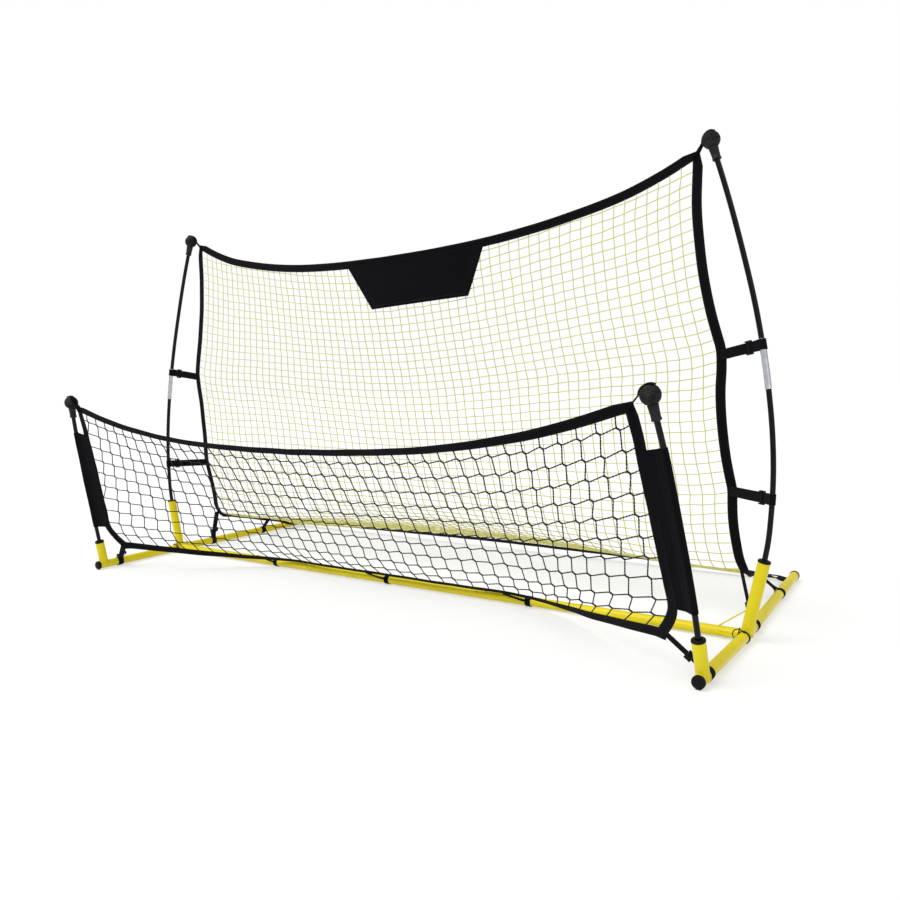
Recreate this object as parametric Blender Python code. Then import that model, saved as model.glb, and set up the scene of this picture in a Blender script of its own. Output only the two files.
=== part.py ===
"""Pitch back rebounder: a free-standing steel base with four curved fibreglass poles that hold
two ball-return nets, a tall volley net at the back and a low ground-ball net at the front.
Metres, +Z up, the low net towards -Y. Each object is one physical piece."""

import math

import bmesh
import bpy
import numpy as np

# Driving dimensions, in metres
FLOOR_TO_AXIS = 0.0153  # base tube axes above the floor, carried by the end plugs
TUBE_R = 0.0127  # 25.4 mm base tube
TUBE_WALL = 0.0013
SPIGOT_R = 0.0110
SLEEVE_GAP = 0.0003
FRONT_END = (1.042, -0.338)  # x and y of each side arm's axis
JUNCTION = (1.050, 0.0)
REAR_END = (1.036, 0.632)
FRONT_SEAM_Y = -0.050
REAR_SOCKET_R = 0.0141
FRONT_SOCKET_R = 0.0143
SOCKET_WALL = 0.0015
SOCKET_FLOOR_Z = 0.0300
FRONT_SOCKET_TOP = 0.095
REAR_SOCKET_TOP = 0.190
POLE_R = 0.00625
FERRULE_R = 0.0078
FERRULE_Z = (0.586, 0.700)
POLE_SPLIT_Z = 0.640
BALL_R = 0.021
WEBBING = 0.025
TAPE_WIDTH = 0.0240
TAPE_T = 0.0018
CORNER_REACH = 1.25  # how far a tape's folded corner reaches, in tape widths
NET_T = 0.0030
STRAP_T = 0.0014
TIE_R = 0.0011
SEAMS_X = {"left": 0.341, "right": 0.312}  # ends of the middle crossbar tube
BUTTON_PAST_SEAM = 0.030
SHIFT_Y = -0.0927  # puts the middle of the bounding box at y = 0

FRONT_POLE = (
    (1.0430, -0.3225, 0.032), (1.0415, -0.3275, 0.060), (1.0393, -0.3345, 0.095),
    (1.0340, -0.3500, 0.170), (1.0270, -0.3650, 0.242), (1.0190, -0.3820, 0.317),
    (1.0100, -0.3980, 0.394), (1.0010, -0.4140, 0.466), (0.9900, -0.4280, 0.532),
    (0.9800, -0.4380, 0.585),
)
REAR_POLE = (
    (1.0556, 0.0000, 0.032), (1.0692, 0.0000, 0.100), (1.0790, 0.0001, 0.145),
    (1.0877, 0.0003, 0.190), (1.0960, 0.0016, 0.240), (1.1010, 0.0038, 0.300),
    (1.1041, 0.0066, 0.380), (1.1009, 0.0109, 0.480), (1.0911, 0.0154, 0.580),
    (1.0765, 0.0203, 0.680), (1.0575, 0.0251, 0.780), (1.0288, 0.0306, 0.900),
    (0.9938, 0.0368, 1.030), (0.9520, 0.0446, 1.166),
)
# Edge of each net where it meets its border tape, for x > 0: (x, y, z)
REAR_TOP = (
    (0.00, 0.0000, 0.975), (0.20, 0.0060, 0.980), (0.40, 0.0200, 0.996),
    (0.60, 0.0370, 1.028), (0.75, 0.0480, 1.064), (0.85, 0.0550, 1.102),
    (0.905, 0.0580, 1.128),
)
REAR_SIDE = (
    (0.9050, 0.0580, 1.128), (0.9032, 0.0555, 1.020), (0.9102, 0.0558, 0.930),
    (0.9224, 0.0558, 0.840), (0.9391, 0.0565, 0.760), (0.9523, 0.0583, 0.710),
    (0.9600, 0.0602, 0.680), (0.9610, 0.0625, 0.650), (0.9572, 0.0679, 0.580),
    (0.9592, 0.0754, 0.500), (0.9664, 0.0849, 0.420), (0.9740, 0.0919, 0.370),
    (0.9785, 0.0970, 0.340), (0.9775, 0.1030, 0.310), (0.9767, 0.1145, 0.260),
    (0.9812, 0.1289, 0.200), (0.9880, 0.1420, 0.154), (0.9925, 0.1600, 0.131),
    (0.9915, 0.2300, 0.114), (0.9895, 0.3100, 0.094), (0.9895, 0.3900, 0.072),
    (0.9930, 0.4800, 0.049), (0.9985, 0.5600, 0.0215), (1.0000, 0.6000, 0.0190),
)
REAR_BOTTOM = (
    (0.000, 0.600, 0.0380), (0.310, 0.600, 0.0340), (0.620, 0.600, 0.0275),
    (0.880, 0.600, 0.0205), (1.000, 0.600, 0.0190),
)
REAR_MIDDLE = (
    (0.000, 0.975), (0.035, 0.800), (0.075, 0.620), (0.112, 0.440), (0.145, 0.300),
    (0.185, 0.205), (0.260, 0.150), (0.400, 0.098), (0.570, 0.050), (0.600, 0.038),
)
FRONT_TOP = (
    (0.00, -0.4060, 0.439), (0.20, -0.4060, 0.443), (0.40, -0.4070, 0.453),
    (0.60, -0.4110, 0.4745), (0.75, -0.4190, 0.501), (0.85, -0.4260, 0.526),
    (0.929, -0.4320, 0.549),
)
FRONT_SIDE = (
    (0.9290, -0.4320, 0.549), (0.9361, -0.4158, 0.500), (0.9422, -0.4002, 0.440),
    (0.9517, -0.3790, 0.360), (0.9609, -0.3593, 0.280), (0.9690, -0.3415, 0.210),
    (0.9735, -0.3258, 0.152), (0.9600, -0.3100, 0.122), (0.9440, -0.2960, 0.099),
)
FRONT_BOTTOM = (
    (0.00, -0.0335, 0.0430), (0.25, -0.0335, 0.0425), (0.47, -0.0350, 0.0424),
    (0.55, -0.0600, 0.0450), (0.65, -0.1180, 0.0570), (0.75, -0.1900, 0.0740),
    (0.85, -0.2480, 0.0880), (0.944, -0.2960, 0.0990),
)
BADGE = ((-0.144, 0.984), (0.346, 0.998), (0.281, 0.863), (-0.070, 0.850))  # corners in x and z
BADGE_AHEAD = 0.0038  # its middle, before the net's
STRAP_HEIGHTS = {"upper": 0.687, "lower": 0.336}
STRAP_TAPE_ENDS = {"upper": (0.9822, 0.0532, 0.682), "lower": (0.9975, 0.0875, 0.340)}

MATERIALS = {
    "yellow_paint": ((0.80, 0.68, 0.03, 1.0), 0.35, 0.0),
    "black_plastic": ((0.012, 0.012, 0.013, 1.0), 0.45, 0.0),
    "black_rubber": ((0.018, 0.018, 0.018, 1.0), 0.70, 0.0),
    "fibreglass": ((0.010, 0.010, 0.012, 1.0), 0.25, 0.0),
    "ferrule_metal": ((0.60, 0.62, 0.66, 1.0), 0.30, 1.0),
    "button_metal": ((0.35, 0.35, 0.36, 1.0), 0.35, 1.0),
    "webbing": ((0.010, 0.010, 0.012, 1.0), 0.85, 0.0),
    "panel_fabric": ((0.008, 0.008, 0.009, 1.0), 0.90, 0.0),
    "yellow_net": ((0.82, 0.84, 0.45, 1.0), 0.80, 0.0),
    "black_net": ((0.015, 0.015, 0.016, 1.0), 0.80, 0.0),
    "tie_cord": ((0.010, 0.010, 0.010, 1.0), 0.85, 0.0),
}


def material(slot):
    made = bpy.data.materials.get(slot)
    if made is None:
        color, roughness, metallic = MATERIALS[slot]
        made = bpy.data.materials.new(slot)
        made.use_nodes = True
        shader = made.node_tree.nodes["Principled BSDF"]
        shader.inputs["Base Color"].default_value = color
        shader.inputs["Roughness"].default_value = roughness
        shader.inputs["Metallic"].default_value = metallic
    return made


def raw_object(name, shape, origin=(0.0, 0.0, 0.0)):
    """A mesh object from (points, faces), its own origin at the given place in the same frame."""
    points, faces = shape
    shifted = np.asarray(points, float) - np.asarray(origin, float)
    mesh = bpy.data.meshes.new(name)
    mesh.from_pydata([tuple(p) for p in shifted], [], [tuple(f) for f in faces])
    bm = bmesh.new()
    bm.from_mesh(mesh)
    bmesh.ops.remove_doubles(bm, verts=bm.verts, dist=1e-6)
    bmesh.ops.recalc_face_normals(bm, faces=bm.faces)
    bm.to_mesh(mesh)
    bm.free()
    obj = bpy.data.objects.new(name, mesh)
    obj.location = (origin[0], origin[1] + SHIFT_Y, origin[2])
    bpy.context.scene.collection.objects.link(obj)
    return obj


def piece(name, slot, shapes, cuts=(), origin=(0.0, 0.0, 0.0)):
    """One closed body: the shapes joined, then the cuts taken out, then the named piece."""
    base = raw_object(name, shapes[0], origin)
    for operation, others in (("UNION", shapes[1:]), ("DIFFERENCE", cuts)):
        for index, other in enumerate(others):
            tool = raw_object(f"tool_{name}_{index}", other, origin)
            modifier = base.modifiers.new("join", "BOOLEAN")
            modifier.operation = operation
            modifier.solver = "EXACT"
            modifier.object = tool
            bpy.context.view_layer.update()
            graph = bpy.context.evaluated_depsgraph_get()
            result = bpy.data.meshes.new_from_object(base.evaluated_get(graph))
            base.modifiers.clear()
            base.data = result
            bpy.data.objects.remove(tool, do_unlink=True)
    base.data.name = name
    base.data.materials.clear()
    base.data.materials.append(material(slot))
    for polygon in base.data.polygons:
        polygon.use_smooth = False
    return base


def unit(v):
    v = np.asarray(v, float)
    return v / np.linalg.norm(v)


def mirrored(points, side):
    """Points given for x > 0, on the chosen side."""
    out = np.array(points, float)
    out[..., 0] *= side
    return out


def rings_to_mesh(rings, caps=True):
    """Closed rings of equal count joined in order, with a flat face over each end."""
    count = len(rings[0])
    points = np.concatenate(rings)
    faces = []
    for k in range(len(rings) - 1):
        for i in range(count):
            j = (i + 1) % count
            a, b = k * count, (k + 1) * count
            faces.append((a + i, a + j, b + j, b + i))
    if caps:
        last = (len(rings) - 1) * count
        faces.append(tuple(range(count))[::-1])
        faces.append(tuple(last + i for i in range(count)))
    return points, faces


def frames(path, first=None):
    """Tangent and two cross directions at each point of a path, turned as little as possible."""
    path = np.asarray(path, float)
    steps = np.diff(path, axis=0)
    steps /= np.linalg.norm(steps, axis=1)[:, None]
    tangents = [steps[0]] + [unit(a + b) for a, b in zip(steps[:-1], steps[1:])] + [steps[-1]]
    guess = np.array((0.0, 0.0, 1.0)) if first is None else np.asarray(first, float)
    if abs(np.dot(unit(guess), tangents[0])) > 0.95:
        guess = np.array((0.0, 1.0, 0.0))
    across = []
    for tangent in tangents:
        guess = unit(guess - tangent * np.dot(guess, tangent))
        across.append((guess, np.cross(tangent, guess)))
    return tangents, across


def rod(path, radius, sides=16):
    """A solid round rod along a path. radius is one number or one for each point."""
    path = np.asarray(path, float)
    radii = np.broadcast_to(radius, (len(path),))
    _, across = frames(path)
    angles = np.linspace(0, 2 * math.pi, sides, endpoint=False)
    rings = [
        point + r * (np.cos(angles)[:, None] * a + np.sin(angles)[:, None] * b)
        for point, r, (a, b) in zip(path, radii, across)
    ]
    return rings_to_mesh(rings)


def hollow(path, outer, inner, sides=20):
    """A round tube along a path, open at both ends."""
    path = np.asarray(path, float)
    _, across = frames(path)
    angles = np.linspace(0, 2 * math.pi, sides, endpoint=False)
    skins = []
    for radius in (outer, inner):
        radii = np.broadcast_to(radius, (len(path),))
        skins.append([
            point + r * (np.cos(angles)[:, None] * a + np.sin(angles)[:, None] * b)
            for point, r, (a, b) in zip(path, radii, across)
        ])
    rings = skins[0] + skins[1][::-1] + [skins[0][0]]
    return rings_to_mesh(rings, caps=False)


def turned(profile, start, direction, sides=20):
    """A body of revolution: profile of (radius, distance along direction) from start, closed
    on the axis where a radius is 0, or ring-shaped if no radius is 0."""
    direction = unit(direction)
    guess = np.array((0.0, 0.0, 1.0)) if abs(direction[2]) < 0.9 else np.array((1.0, 0.0, 0.0))
    a = unit(guess - direction * np.dot(guess, direction))
    b = np.cross(direction, a)
    angles = np.linspace(0, 2 * math.pi, sides, endpoint=False)
    circle = np.cos(angles)[:, None] * a + np.sin(angles)[:, None] * b
    start = np.asarray(start, float)
    rings = [start + direction * h + max(r, 1e-5) * circle for r, h in profile]
    if min(r for r, _ in profile) > 1e-4:
        return rings_to_mesh(rings + [rings[0]], caps=False)
    return rings_to_mesh(rings)


def band(path, normals, width_way, width, thickness):
    """A flat band along a path: its face turned to normals, its width along width_way."""
    rings = []
    for point, normal, way in zip(path, normals, width_way):
        w = unit(way) * width / 2
        n = unit(normal) * thickness / 2
        rings.append(np.array([point - w - n, point + w - n, point + w + n, point - w + n]))
    return rings_to_mesh(rings)


def box(centre, axes, sizes):
    """A block with its edges along the three axes."""
    centre = np.asarray(centre, float)
    u, v, w = (unit(a) * s / 2 for a, s in zip(axes, sizes))
    low = [centre - u - v - w, centre + u - v - w, centre + u + v - w, centre - u + v - w]
    high = [p + 2 * w for p in low]
    return rings_to_mesh([np.array(low), np.array(high)])


def smooth_line(points, count):
    """Points spread evenly along a smooth line through the given ones."""
    points = np.asarray(points, float)
    lengths = np.r_[0.0, np.cumsum(np.linalg.norm(np.diff(points, axis=0), axis=1))]
    slopes = np.gradient(points, lengths, axis=0)
    spots = np.linspace(0.0, lengths[-1], count)
    index = np.clip(np.searchsorted(lengths, spots, side="right") - 1, 0, len(lengths) - 2)
    span = (lengths[index + 1] - lengths[index])[:, None]
    t = (spots - lengths[index])[:, None] / span
    p0, p1 = points[index], points[index + 1]
    m0, m1 = slopes[index] * span, slopes[index + 1] * span
    return (
        (2 * t**3 - 3 * t**2 + 1) * p0
        + (t**3 - 2 * t**2 + t) * m0
        + (-2 * t**3 + 3 * t**2) * p1
        + (t**3 - t**2) * m1
    )


def at_height(points, z):
    points = np.asarray(points, float)
    return np.array([np.interp(z, points[:, 2], points[:, k]) for k in range(3)])


def between_heights(line, low, high):
    """The part of a rising line from one height to another, its ends exact."""
    line = np.asarray(line, float)
    inside = line[(line[:, 2] > low + 0.004) & (line[:, 2] < high - 0.004)]
    return np.vstack([at_height(line, low), inside, at_height(line, high)])


def direction_at(line, z):
    return unit(at_height(line, z + 0.01) - at_height(line, z - 0.01))


def net_grid(top, side, bottom, middle, columns, rows):
    """A net's surface as points[row][column], from its right-hand edges. Row 0 is the bottom
    edge. middle is the (y, z) line down its centre, or None."""
    top_line = smooth_line(top, columns // 2 + 1)
    bottom_line = smooth_line(bottom, columns // 2 + 1)
    side_line = smooth_line(side[::-1], rows + 1)
    top_line = np.vstack([mirrored(top_line[:0:-1], -1), top_line])
    bottom_line = np.vstack([mirrored(bottom_line[:0:-1], -1), bottom_line])
    grid = np.empty((rows + 1, columns + 1, 3))
    right, left = side_line, mirrored(side_line, -1)
    if middle is not None:
        wide = [(0.0, y, z) for y, z in middle][::-1]
        centre = smooth_line(wide, rows + 1)
    for r in range(rows + 1):
        v = r / rows
        for c in range(columns + 1):
            u = c / columns
            point = (1 - v) * bottom_line[c] + v * top_line[c]
            point = point + (1 - u) * left[r] + u * right[r]
            point = point - (1 - v) * ((1 - u) * bottom_line[0] + u * bottom_line[-1])
            point = point - v * ((1 - u) * top_line[0] + u * top_line[-1])
            grid[r, c] = point
    if middle is not None:
        half = columns // 2
        pull = centre - grid[:, half]
        pull[:, 0] = 0.0
        for c in range(columns + 1):
            weight = (1 - abs(2 * c / columns - 1) ** 2.0) ** 1.5
            grid[:, c] += weight * pull
    return grid


def sheet_from_grid(grid, thickness):
    """A closed thin sheet, half its thickness to each side of the grid."""
    rows, columns = grid.shape[:2]
    along = np.gradient(grid, axis=1)
    up = np.gradient(grid, axis=0)
    normal = np.cross(along, up)
    normal /= np.linalg.norm(normal, axis=2)[..., None]
    front = (grid - normal * thickness / 2).reshape(-1, 3)
    back = (grid + normal * thickness / 2).reshape(-1, 3)
    total = rows * columns
    faces = []
    for r in range(rows - 1):
        for c in range(columns - 1):
            a = r * columns + c
            faces.append((a, a + 1, a + 1 + columns, a + columns))
            faces.append(tuple(total + i for i in (a + columns, a + 1 + columns, a + 1, a)))
    rim = [c for c in range(columns)]
    rim += [r * columns + columns - 1 for r in range(1, rows)]
    rim += [(rows - 1) * columns + c for c in range(columns - 2, -1, -1)]
    rim += [r * columns for r in range(rows - 2, 0, -1)]
    for i, a in enumerate(rim):
        b = rim[(i + 1) % len(rim)]
        faces.append((b, a, total + a, total + b))
    return np.vstack([front, back]), faces


def border_ring(grid, gap, width, thickness):
    """The tape round a net's surface: a closed flat ring in the surface's own plane."""
    rows, columns = grid.shape[:2]
    out_c = grid[:, -1] - grid[:, -2]
    out_c0 = grid[:, 0] - grid[:, 1]
    out_r = grid[-1] - grid[-2]
    out_r0 = grid[0] - grid[1]
    loop, outward, up_way = [], [], []

    def add(r, c, *ways):
        total = sum(unit(w) for w in ways)
        if len(ways) == 2:
            cosine = float(np.dot(unit(ways[0]), unit(ways[1])))
            total = total / max(0.45, 1 + cosine)
            total = total * min(1.0, CORNER_REACH / np.linalg.norm(total))
        loop.append(grid[r, c])
        outward.append(total)

    for c in range(columns - 1):
        add(0, c, *((out_r0[c],) if c else (out_r0[0], out_c0[0])))
    for r in range(rows - 1):
        add(r, columns - 1, *((out_c[r],) if r else (out_c[0], out_r0[-1])))
    for c in range(columns - 1, 0, -1):
        add(rows - 1, c, *((out_r[c],) if c < columns - 1 else (out_r[-1], out_c[-1])))
    for r in range(rows - 1, 0, -1):
        add(r, 0, *((out_c0[r],) if r < rows - 1 else (out_c0[-1], out_r[0])))
    loop, outward = np.array(loop), np.array(outward)
    count = len(loop)
    along = np.roll(loop, -1, axis=0) - np.roll(loop, 1, axis=0)
    rings = []
    for i in range(count):
        tangent = unit(along[i])
        way = outward[i]
        if abs(np.linalg.norm(way) - 1.0) < 1e-6:
            way = unit(way - tangent * np.dot(way, tangent))
        normal = unit(np.cross(tangent, way)) * thickness / 2
        near, far = loop[i] + way * gap, loop[i] + way * (gap + width)
        rings.append(np.array([near - normal, far - normal, far + normal, near + normal]))
    return rings_to_mesh(rings + [rings[0]], caps=False)


def strap_round(pole_point, pole_way, pole_radius, tape_end, turn_back):
    """A webbing strap from a tape, round a pole and back beside itself: (shape, place of a point
    at a distance from the pole's axis, strap way, width way, face way)."""
    way_w = unit(pole_way)
    reach = np.asarray(tape_end, float) - pole_point
    reach = reach - way_w * np.dot(reach, way_w)
    length = float(np.linalg.norm(reach))
    way_u = unit(reach)
    way_n = np.cross(way_w, way_u)
    half = 0.0002 + STRAP_T / 2
    wrap = pole_radius + SLEEVE_GAP + STRAP_T / 2
    meet = 0.022
    flat = [(length, half), (meet, half)]
    open_angle = math.radians(62)
    arc = [
        (wrap * math.cos(t), wrap * math.sin(t))
        for t in np.linspace(open_angle, 2 * math.pi - open_angle, 13)
    ]
    back = [(meet, -half), (turn_back, -half)]
    line = np.array(flat + arc + back)
    path = [pole_point + way_u * a + way_n * b for a, b in line]
    steps = np.diff(line, axis=0)
    steps /= np.linalg.norm(steps, axis=1)[:, None]
    ways = [steps[0]] + [unit(a + b) for a, b in zip(steps[:-1], steps[1:])] + [steps[-1]]
    normals = [way_n * w[0] - way_u * w[1] for w in ways]
    shape = band(path, normals, [way_w] * len(path), WEBBING, STRAP_T)
    return shape, length, way_u, way_w, way_n


def triglide(centre, way_u, way_w, way_n):
    """A three-bar slider that a doubled strap runs through: side rails, two bars under, one over."""
    clear_w, clear_n = WEBBING / 2 + 0.0006, 0.0019
    shapes = []
    for side in (-1, 1):
        rail = centre + way_w * side * (clear_w + 0.0016)
        shapes.append(box(rail, (way_u, way_w, way_n), (0.0160, 0.0032, 0.0076)))
    span = 2 * clear_w + 0.0032
    for along in (-0.0060, 0.0060):
        bar = centre + way_u * along - way_n * (clear_n + 0.0009)
        shapes.append(box(bar, (way_u, way_w, way_n), (0.0036, span, 0.0018)))
    bar = centre + way_n * (clear_n + 0.0009)
    shapes.append(box(bar, (way_u, way_w, way_n), (0.0040, span, 0.0018)))
    return shapes


def arm_loop(centre, axis, radius, toward, tail_to):
    """A webbing loop round a tube with a tail: the loop's axis is the tube's, the tail leaves it
    at the side named by toward and ends at tail_to."""
    axis = unit(axis)
    inner = radius + SLEEVE_GAP
    outer = inner + STRAP_T
    half = WEBBING / 2 * 0.8
    ring = hollow([centre - axis * half, centre + axis * half], outer, inner, 16)
    out = unit(toward)
    start = centre + out * (radius + SLEEVE_GAP + STRAP_T * 0.5)
    way = unit(np.asarray(tail_to, float) - start)
    width_way = axis - way * np.dot(axis, way)
    face = np.cross(way, unit(width_way))
    tail = band(
        [start, np.asarray(tail_to, float)], [face] * 2, [width_way] * 2, 2 * half, STRAP_T * 1.6
    )
    bore = rod([centre - axis * 0.03, centre + axis * 0.03], inner, 16)
    return [ring, tail], [bore], way, unit(width_way), face


def clear_scene():
    for obj in list(bpy.data.objects):
        bpy.data.objects.remove(obj, do_unlink=True)


def arm_point(y):
    """The point of a right-hand arm's axis at this y."""
    if y < 0:
        share = y / FRONT_END[1]
        x = JUNCTION[0] + share * (FRONT_END[0] - JUNCTION[0])
    else:
        share = y / REAR_END[1]
        x = JUNCTION[0] + share * (REAR_END[0] - JUNCTION[0])
    return np.array((x, y, FLOOR_TO_AXIS))


def build_base(label, side):
    """The steel tubes of one side: the front arm with its socket, and the welded rear frame."""
    def at(*p):
        return mirrored(np.array(p), side)

    front, seam = arm_point(FRONT_END[1]), arm_point(FRONT_SEAM_Y)
    slope = direction_at(FRONT_POLE, FRONT_SOCKET_TOP - 0.02)
    top = at_height(FRONT_POLE, FRONT_SOCKET_TOP)
    foot = top - slope * (FRONT_SOCKET_TOP - FLOOR_TO_AXIS) / slope[2]
    mouth = foot + (top - foot) * (SOCKET_FLOOR_Z - FLOOR_TO_AXIS) / (top[2] - foot[2])
    arm_r = TUBE_R + 0.0003
    piece(
        f"{label}_front_arm", "yellow_paint",
        [
            rod(mirrored([front, seam], side), arm_r, 24),
            rod(mirrored([foot, top], side), FRONT_SOCKET_R, 24),
        ],
        [
            rod(mirrored([front + (front - seam) * 0.1, seam - (front - seam) * 0.1], side),
                SPIGOT_R + SLEEVE_GAP, 20),
            rod(mirrored([mouth, top + (top - mouth)], side), FRONT_SOCKET_R - SOCKET_WALL, 20),
        ],
    )

    rear = arm_point(REAR_END[1])
    hub = arm_point(0.0)
    spigot_end = arm_point(-0.095)
    top = at_height(REAR_POLE, REAR_SOCKET_TOP)
    slope = direction_at(REAR_POLE, 0.12)
    foot = top - slope * (REAR_SOCKET_TOP - FLOOR_TO_AXIS) / slope[2]
    mouth = foot + (top - foot) * (SOCKET_FLOOR_Z - FLOOR_TO_AXIS) / (top[2] - foot[2])
    inner_x = SEAMS_X[label]
    bar_end = np.array((inner_x, 0.0, FLOOR_TO_AXIS))
    brace_bar = np.array((0.985, 0.0, FLOOR_TO_AXIS + 0.011))
    brace_up = foot + (top - foot) * 0.34 + np.array((-0.012, 0.0, 0.0))
    brace_bar_low = np.array((0.985, -0.0115, FLOOR_TO_AXIS))
    brace_arm = arm_point(-0.036) + np.array((-0.0115, 0.0, 0.0))
    seam_face = arm_point(FRONT_SEAM_Y + 0.0006)
    ways = {
        "arm": rod(mirrored([seam_face, arm_point(0.006)], side), TUBE_R, 24),
        "rear": rod(mirrored([hub - (rear - hub) * 0.006, rear], side), TUBE_R - 1e-5, 22),
        "bar": rod(mirrored([hub + (hub - bar_end) * 0.003, bar_end], side), TUBE_R + 1e-5, 26),
        "socket": rod(mirrored([foot, top], side), REAR_SOCKET_R, 24),
        "spigot": rod(mirrored([spigot_end, arm_point(-0.040)], side), SPIGOT_R, 20),
        "brace_up": rod(mirrored([brace_bar, brace_up], side), 0.0016, 8),
        "brace_flat": rod(mirrored([brace_bar_low, brace_arm], side), 0.0016, 8),
    }
    bore = TUBE_R - TUBE_WALL
    deep_rear = arm_point(0.040)
    piece(
        f"{label}_rear_frame", "yellow_paint", list(ways.values()),
        [
            rod(mirrored([deep_rear, rear + (rear - deep_rear) * 0.1], side), bore, 20),
            rod(mirrored([spigot_end + (spigot_end - hub) * 0.2, arm_point(-0.030)], side),
                SPIGOT_R - TUBE_WALL, 16),
            rod(at(*[[1.015, 0.0, FLOOR_TO_AXIS], [inner_x - 0.05, 0.0, FLOOR_TO_AXIS]]), bore, 20),
            rod(mirrored([mouth, top + (top - mouth) * 0.2], side),
                REAR_SOCKET_R - SOCKET_WALL, 20),
            rod(
                mirrored(
                    [
                        (inner_x + BUTTON_PAST_SEAM, -0.004, FLOOR_TO_AXIS + 0.007),
                        (inner_x + BUTTON_PAST_SEAM, -0.012, FLOOR_TO_AXIS + 0.021),
                    ],
                    side,
                ),
                0.0034, 12,
            ),
        ],
    )


def plug_shape(end, way, dome):
    """An end plug: a skirt inside the tube, a rim a little wider than it, domed outward."""
    rim = 0.0142
    profile = [(0.0, -0.012), (TUBE_R - TUBE_WALL - 0.0004, -0.012)]
    profile += [(TUBE_R - TUBE_WALL - 0.0004, 0.0004), (rim, 0.0004), (rim, 0.0074)]
    profile += [(rim * math.cos(a), 0.0074 + dome * math.sin(a)) for a in (0.5, 1.05)]
    profile += [(0.0, 0.0074 + dome)]
    return turned(profile, end, way, 18)


def build_plugs(label, side):
    for place, end, back in (("front", FRONT_END, FRONT_SEAM_Y), ("rear", REAR_END, 0.04)):
        tip = mirrored(arm_point(end[1]), side)
        way = unit(tip - mirrored(arm_point(back), side))
        foot = tip + way * 0.0039
        foot[2] = 0.0030
        pad = box(foot, ((way[1], -way[0], 0.0), way, (0, 0, 1)), (0.0110, 0.0062, 0.0060))
        piece(f"{label}_{place}_arm_plug", "black_plastic", [plug_shape(tip, way, 0.0048), pad])


def collar_shape(top, way, socket_r):
    """A pole guide: a skirt in the socket's mouth and a flange on its end."""
    bore = POLE_R + 0.00045
    skirt = socket_r - SOCKET_WALL - 0.0006
    profile = [(bore, -0.009), (skirt, -0.009), (skirt, 0.0003), (socket_r + 0.0006, 0.0003)]
    profile += [(socket_r + 0.0006, 0.0040), (socket_r - 0.0025, 0.0062), (bore, 0.0062)]
    return turned(profile, top, way, 18)


def straight_ends(line, foot, socket_top):
    """A pole's line, straight inside its socket and inside its ball cap."""
    middle = (line[:, 2] > socket_top[2] + 0.012) & (line[:, 2] < line[-1][2] - 0.054)
    return np.vstack([foot, socket_top, line[middle], line[-1]])


def build_poles(label, side):
    front = smooth_line(FRONT_POLE, 12)
    rear = smooth_line(REAR_POLE, 22)
    for place, line, height, radius in (
        ("front", FRONT_POLE, FRONT_SOCKET_TOP, FRONT_SOCKET_R),
        ("rear", REAR_POLE, REAR_SOCKET_TOP, REAR_SOCKET_R),
    ):
        top = at_height(line, height)
        spot = height - 0.02 if place == "front" else 0.12
        way = direction_at(line, spot)
        piece(
            f"{label}_{place}_socket_collar", "black_plastic",
            [collar_shape(mirrored(top, side), mirrored(way, side), radius)],
        )
    front = straight_ends(front, FRONT_POLE[0], FRONT_POLE[2])
    piece(f"{label}_front_pole", "fibreglass", [rod(mirrored(front, side), POLE_R, 12)])
    rear = straight_ends(rear, REAR_POLE[0], REAR_POLE[3])
    lower = between_heights(rear, rear[0][2], POLE_SPLIT_Z)
    piece(f"{label}_lower_rear_pole", "fibreglass", [rod(mirrored(lower, side), POLE_R, 12)])
    upper = between_heights(rear, POLE_SPLIT_Z + 0.001, rear[-1][2])
    piece(f"{label}_upper_rear_pole", "fibreglass", [rod(mirrored(upper, side), POLE_R, 12)])
    sleeve = between_heights(rear, *FERRULE_Z)
    piece(
        f"{label}_rear_pole_ferrule", "ferrule_metal",
        [hollow(mirrored(sleeve, side), FERRULE_R, POLE_R + SLEEVE_GAP, 14)],
    )
    return front, rear


def finial_shape(tip, way):
    """A ribbed ball cap with a tapered neck, bored from below for the pole's tip."""
    neck = 0.036
    bore = POLE_R + SLEEVE_GAP
    profile = [(bore, -neck - 0.014), (0.0100, -neck - 0.014), (0.0112, -0.0185)]
    ribs = 9
    for k in range(ribs):
        low = -0.0175 + k * 0.0350 / (ribs - 1)
        reach = math.sqrt(max(BALL_R**2 - low**2, 1e-6))
        profile.append((reach - 0.0018, low - 0.0022))
        profile.append((reach, low))
    profile += [(0.0078, 0.0200), (0.0, 0.0210)]
    solid = turned([(0.0, -neck - 0.014)] + profile[1:], tip, way, 18)
    hole = turned(
        [(0.0, -neck - 0.030), (bore, -neck - 0.030), (bore, 0.0012), (0.0, 0.0012)], tip, way, 12
    )
    return solid, hole


def build_finials(label, side, front, rear):
    for place, line in (("front", front), ("rear", rear)):
        tip = mirrored(line[-1], side)
        way = unit(tip - mirrored(line[-2], side))
        solid, hole = finial_shape(tip, way)
        piece(f"{label}_{place}_ball_cap", "black_rubber", [solid], [hole], origin=tip)


def build_side_straps(label, side, rear):
    for level, height in STRAP_HEIGHTS.items():
        radius = POLE_R if level == "lower" else FERRULE_R
        point = mirrored(at_height(rear, height), side)
        way = mirrored(direction_at(rear, height), side)
        end = mirrored(np.array(STRAP_TAPE_ENDS[level]), side)
        shape, length, way_u, way_w, way_n = strap_round(point, way, radius, end, 0.058)
        piece(f"{label}_{level}_side_strap", "webbing", [shape])
        centre = point + way_u * 0.034
        piece(
            f"{label}_{level}_strap_slider", "black_plastic",
            triglide(centre, way_u, way_w, way_n), origin=centre,
        )


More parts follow.
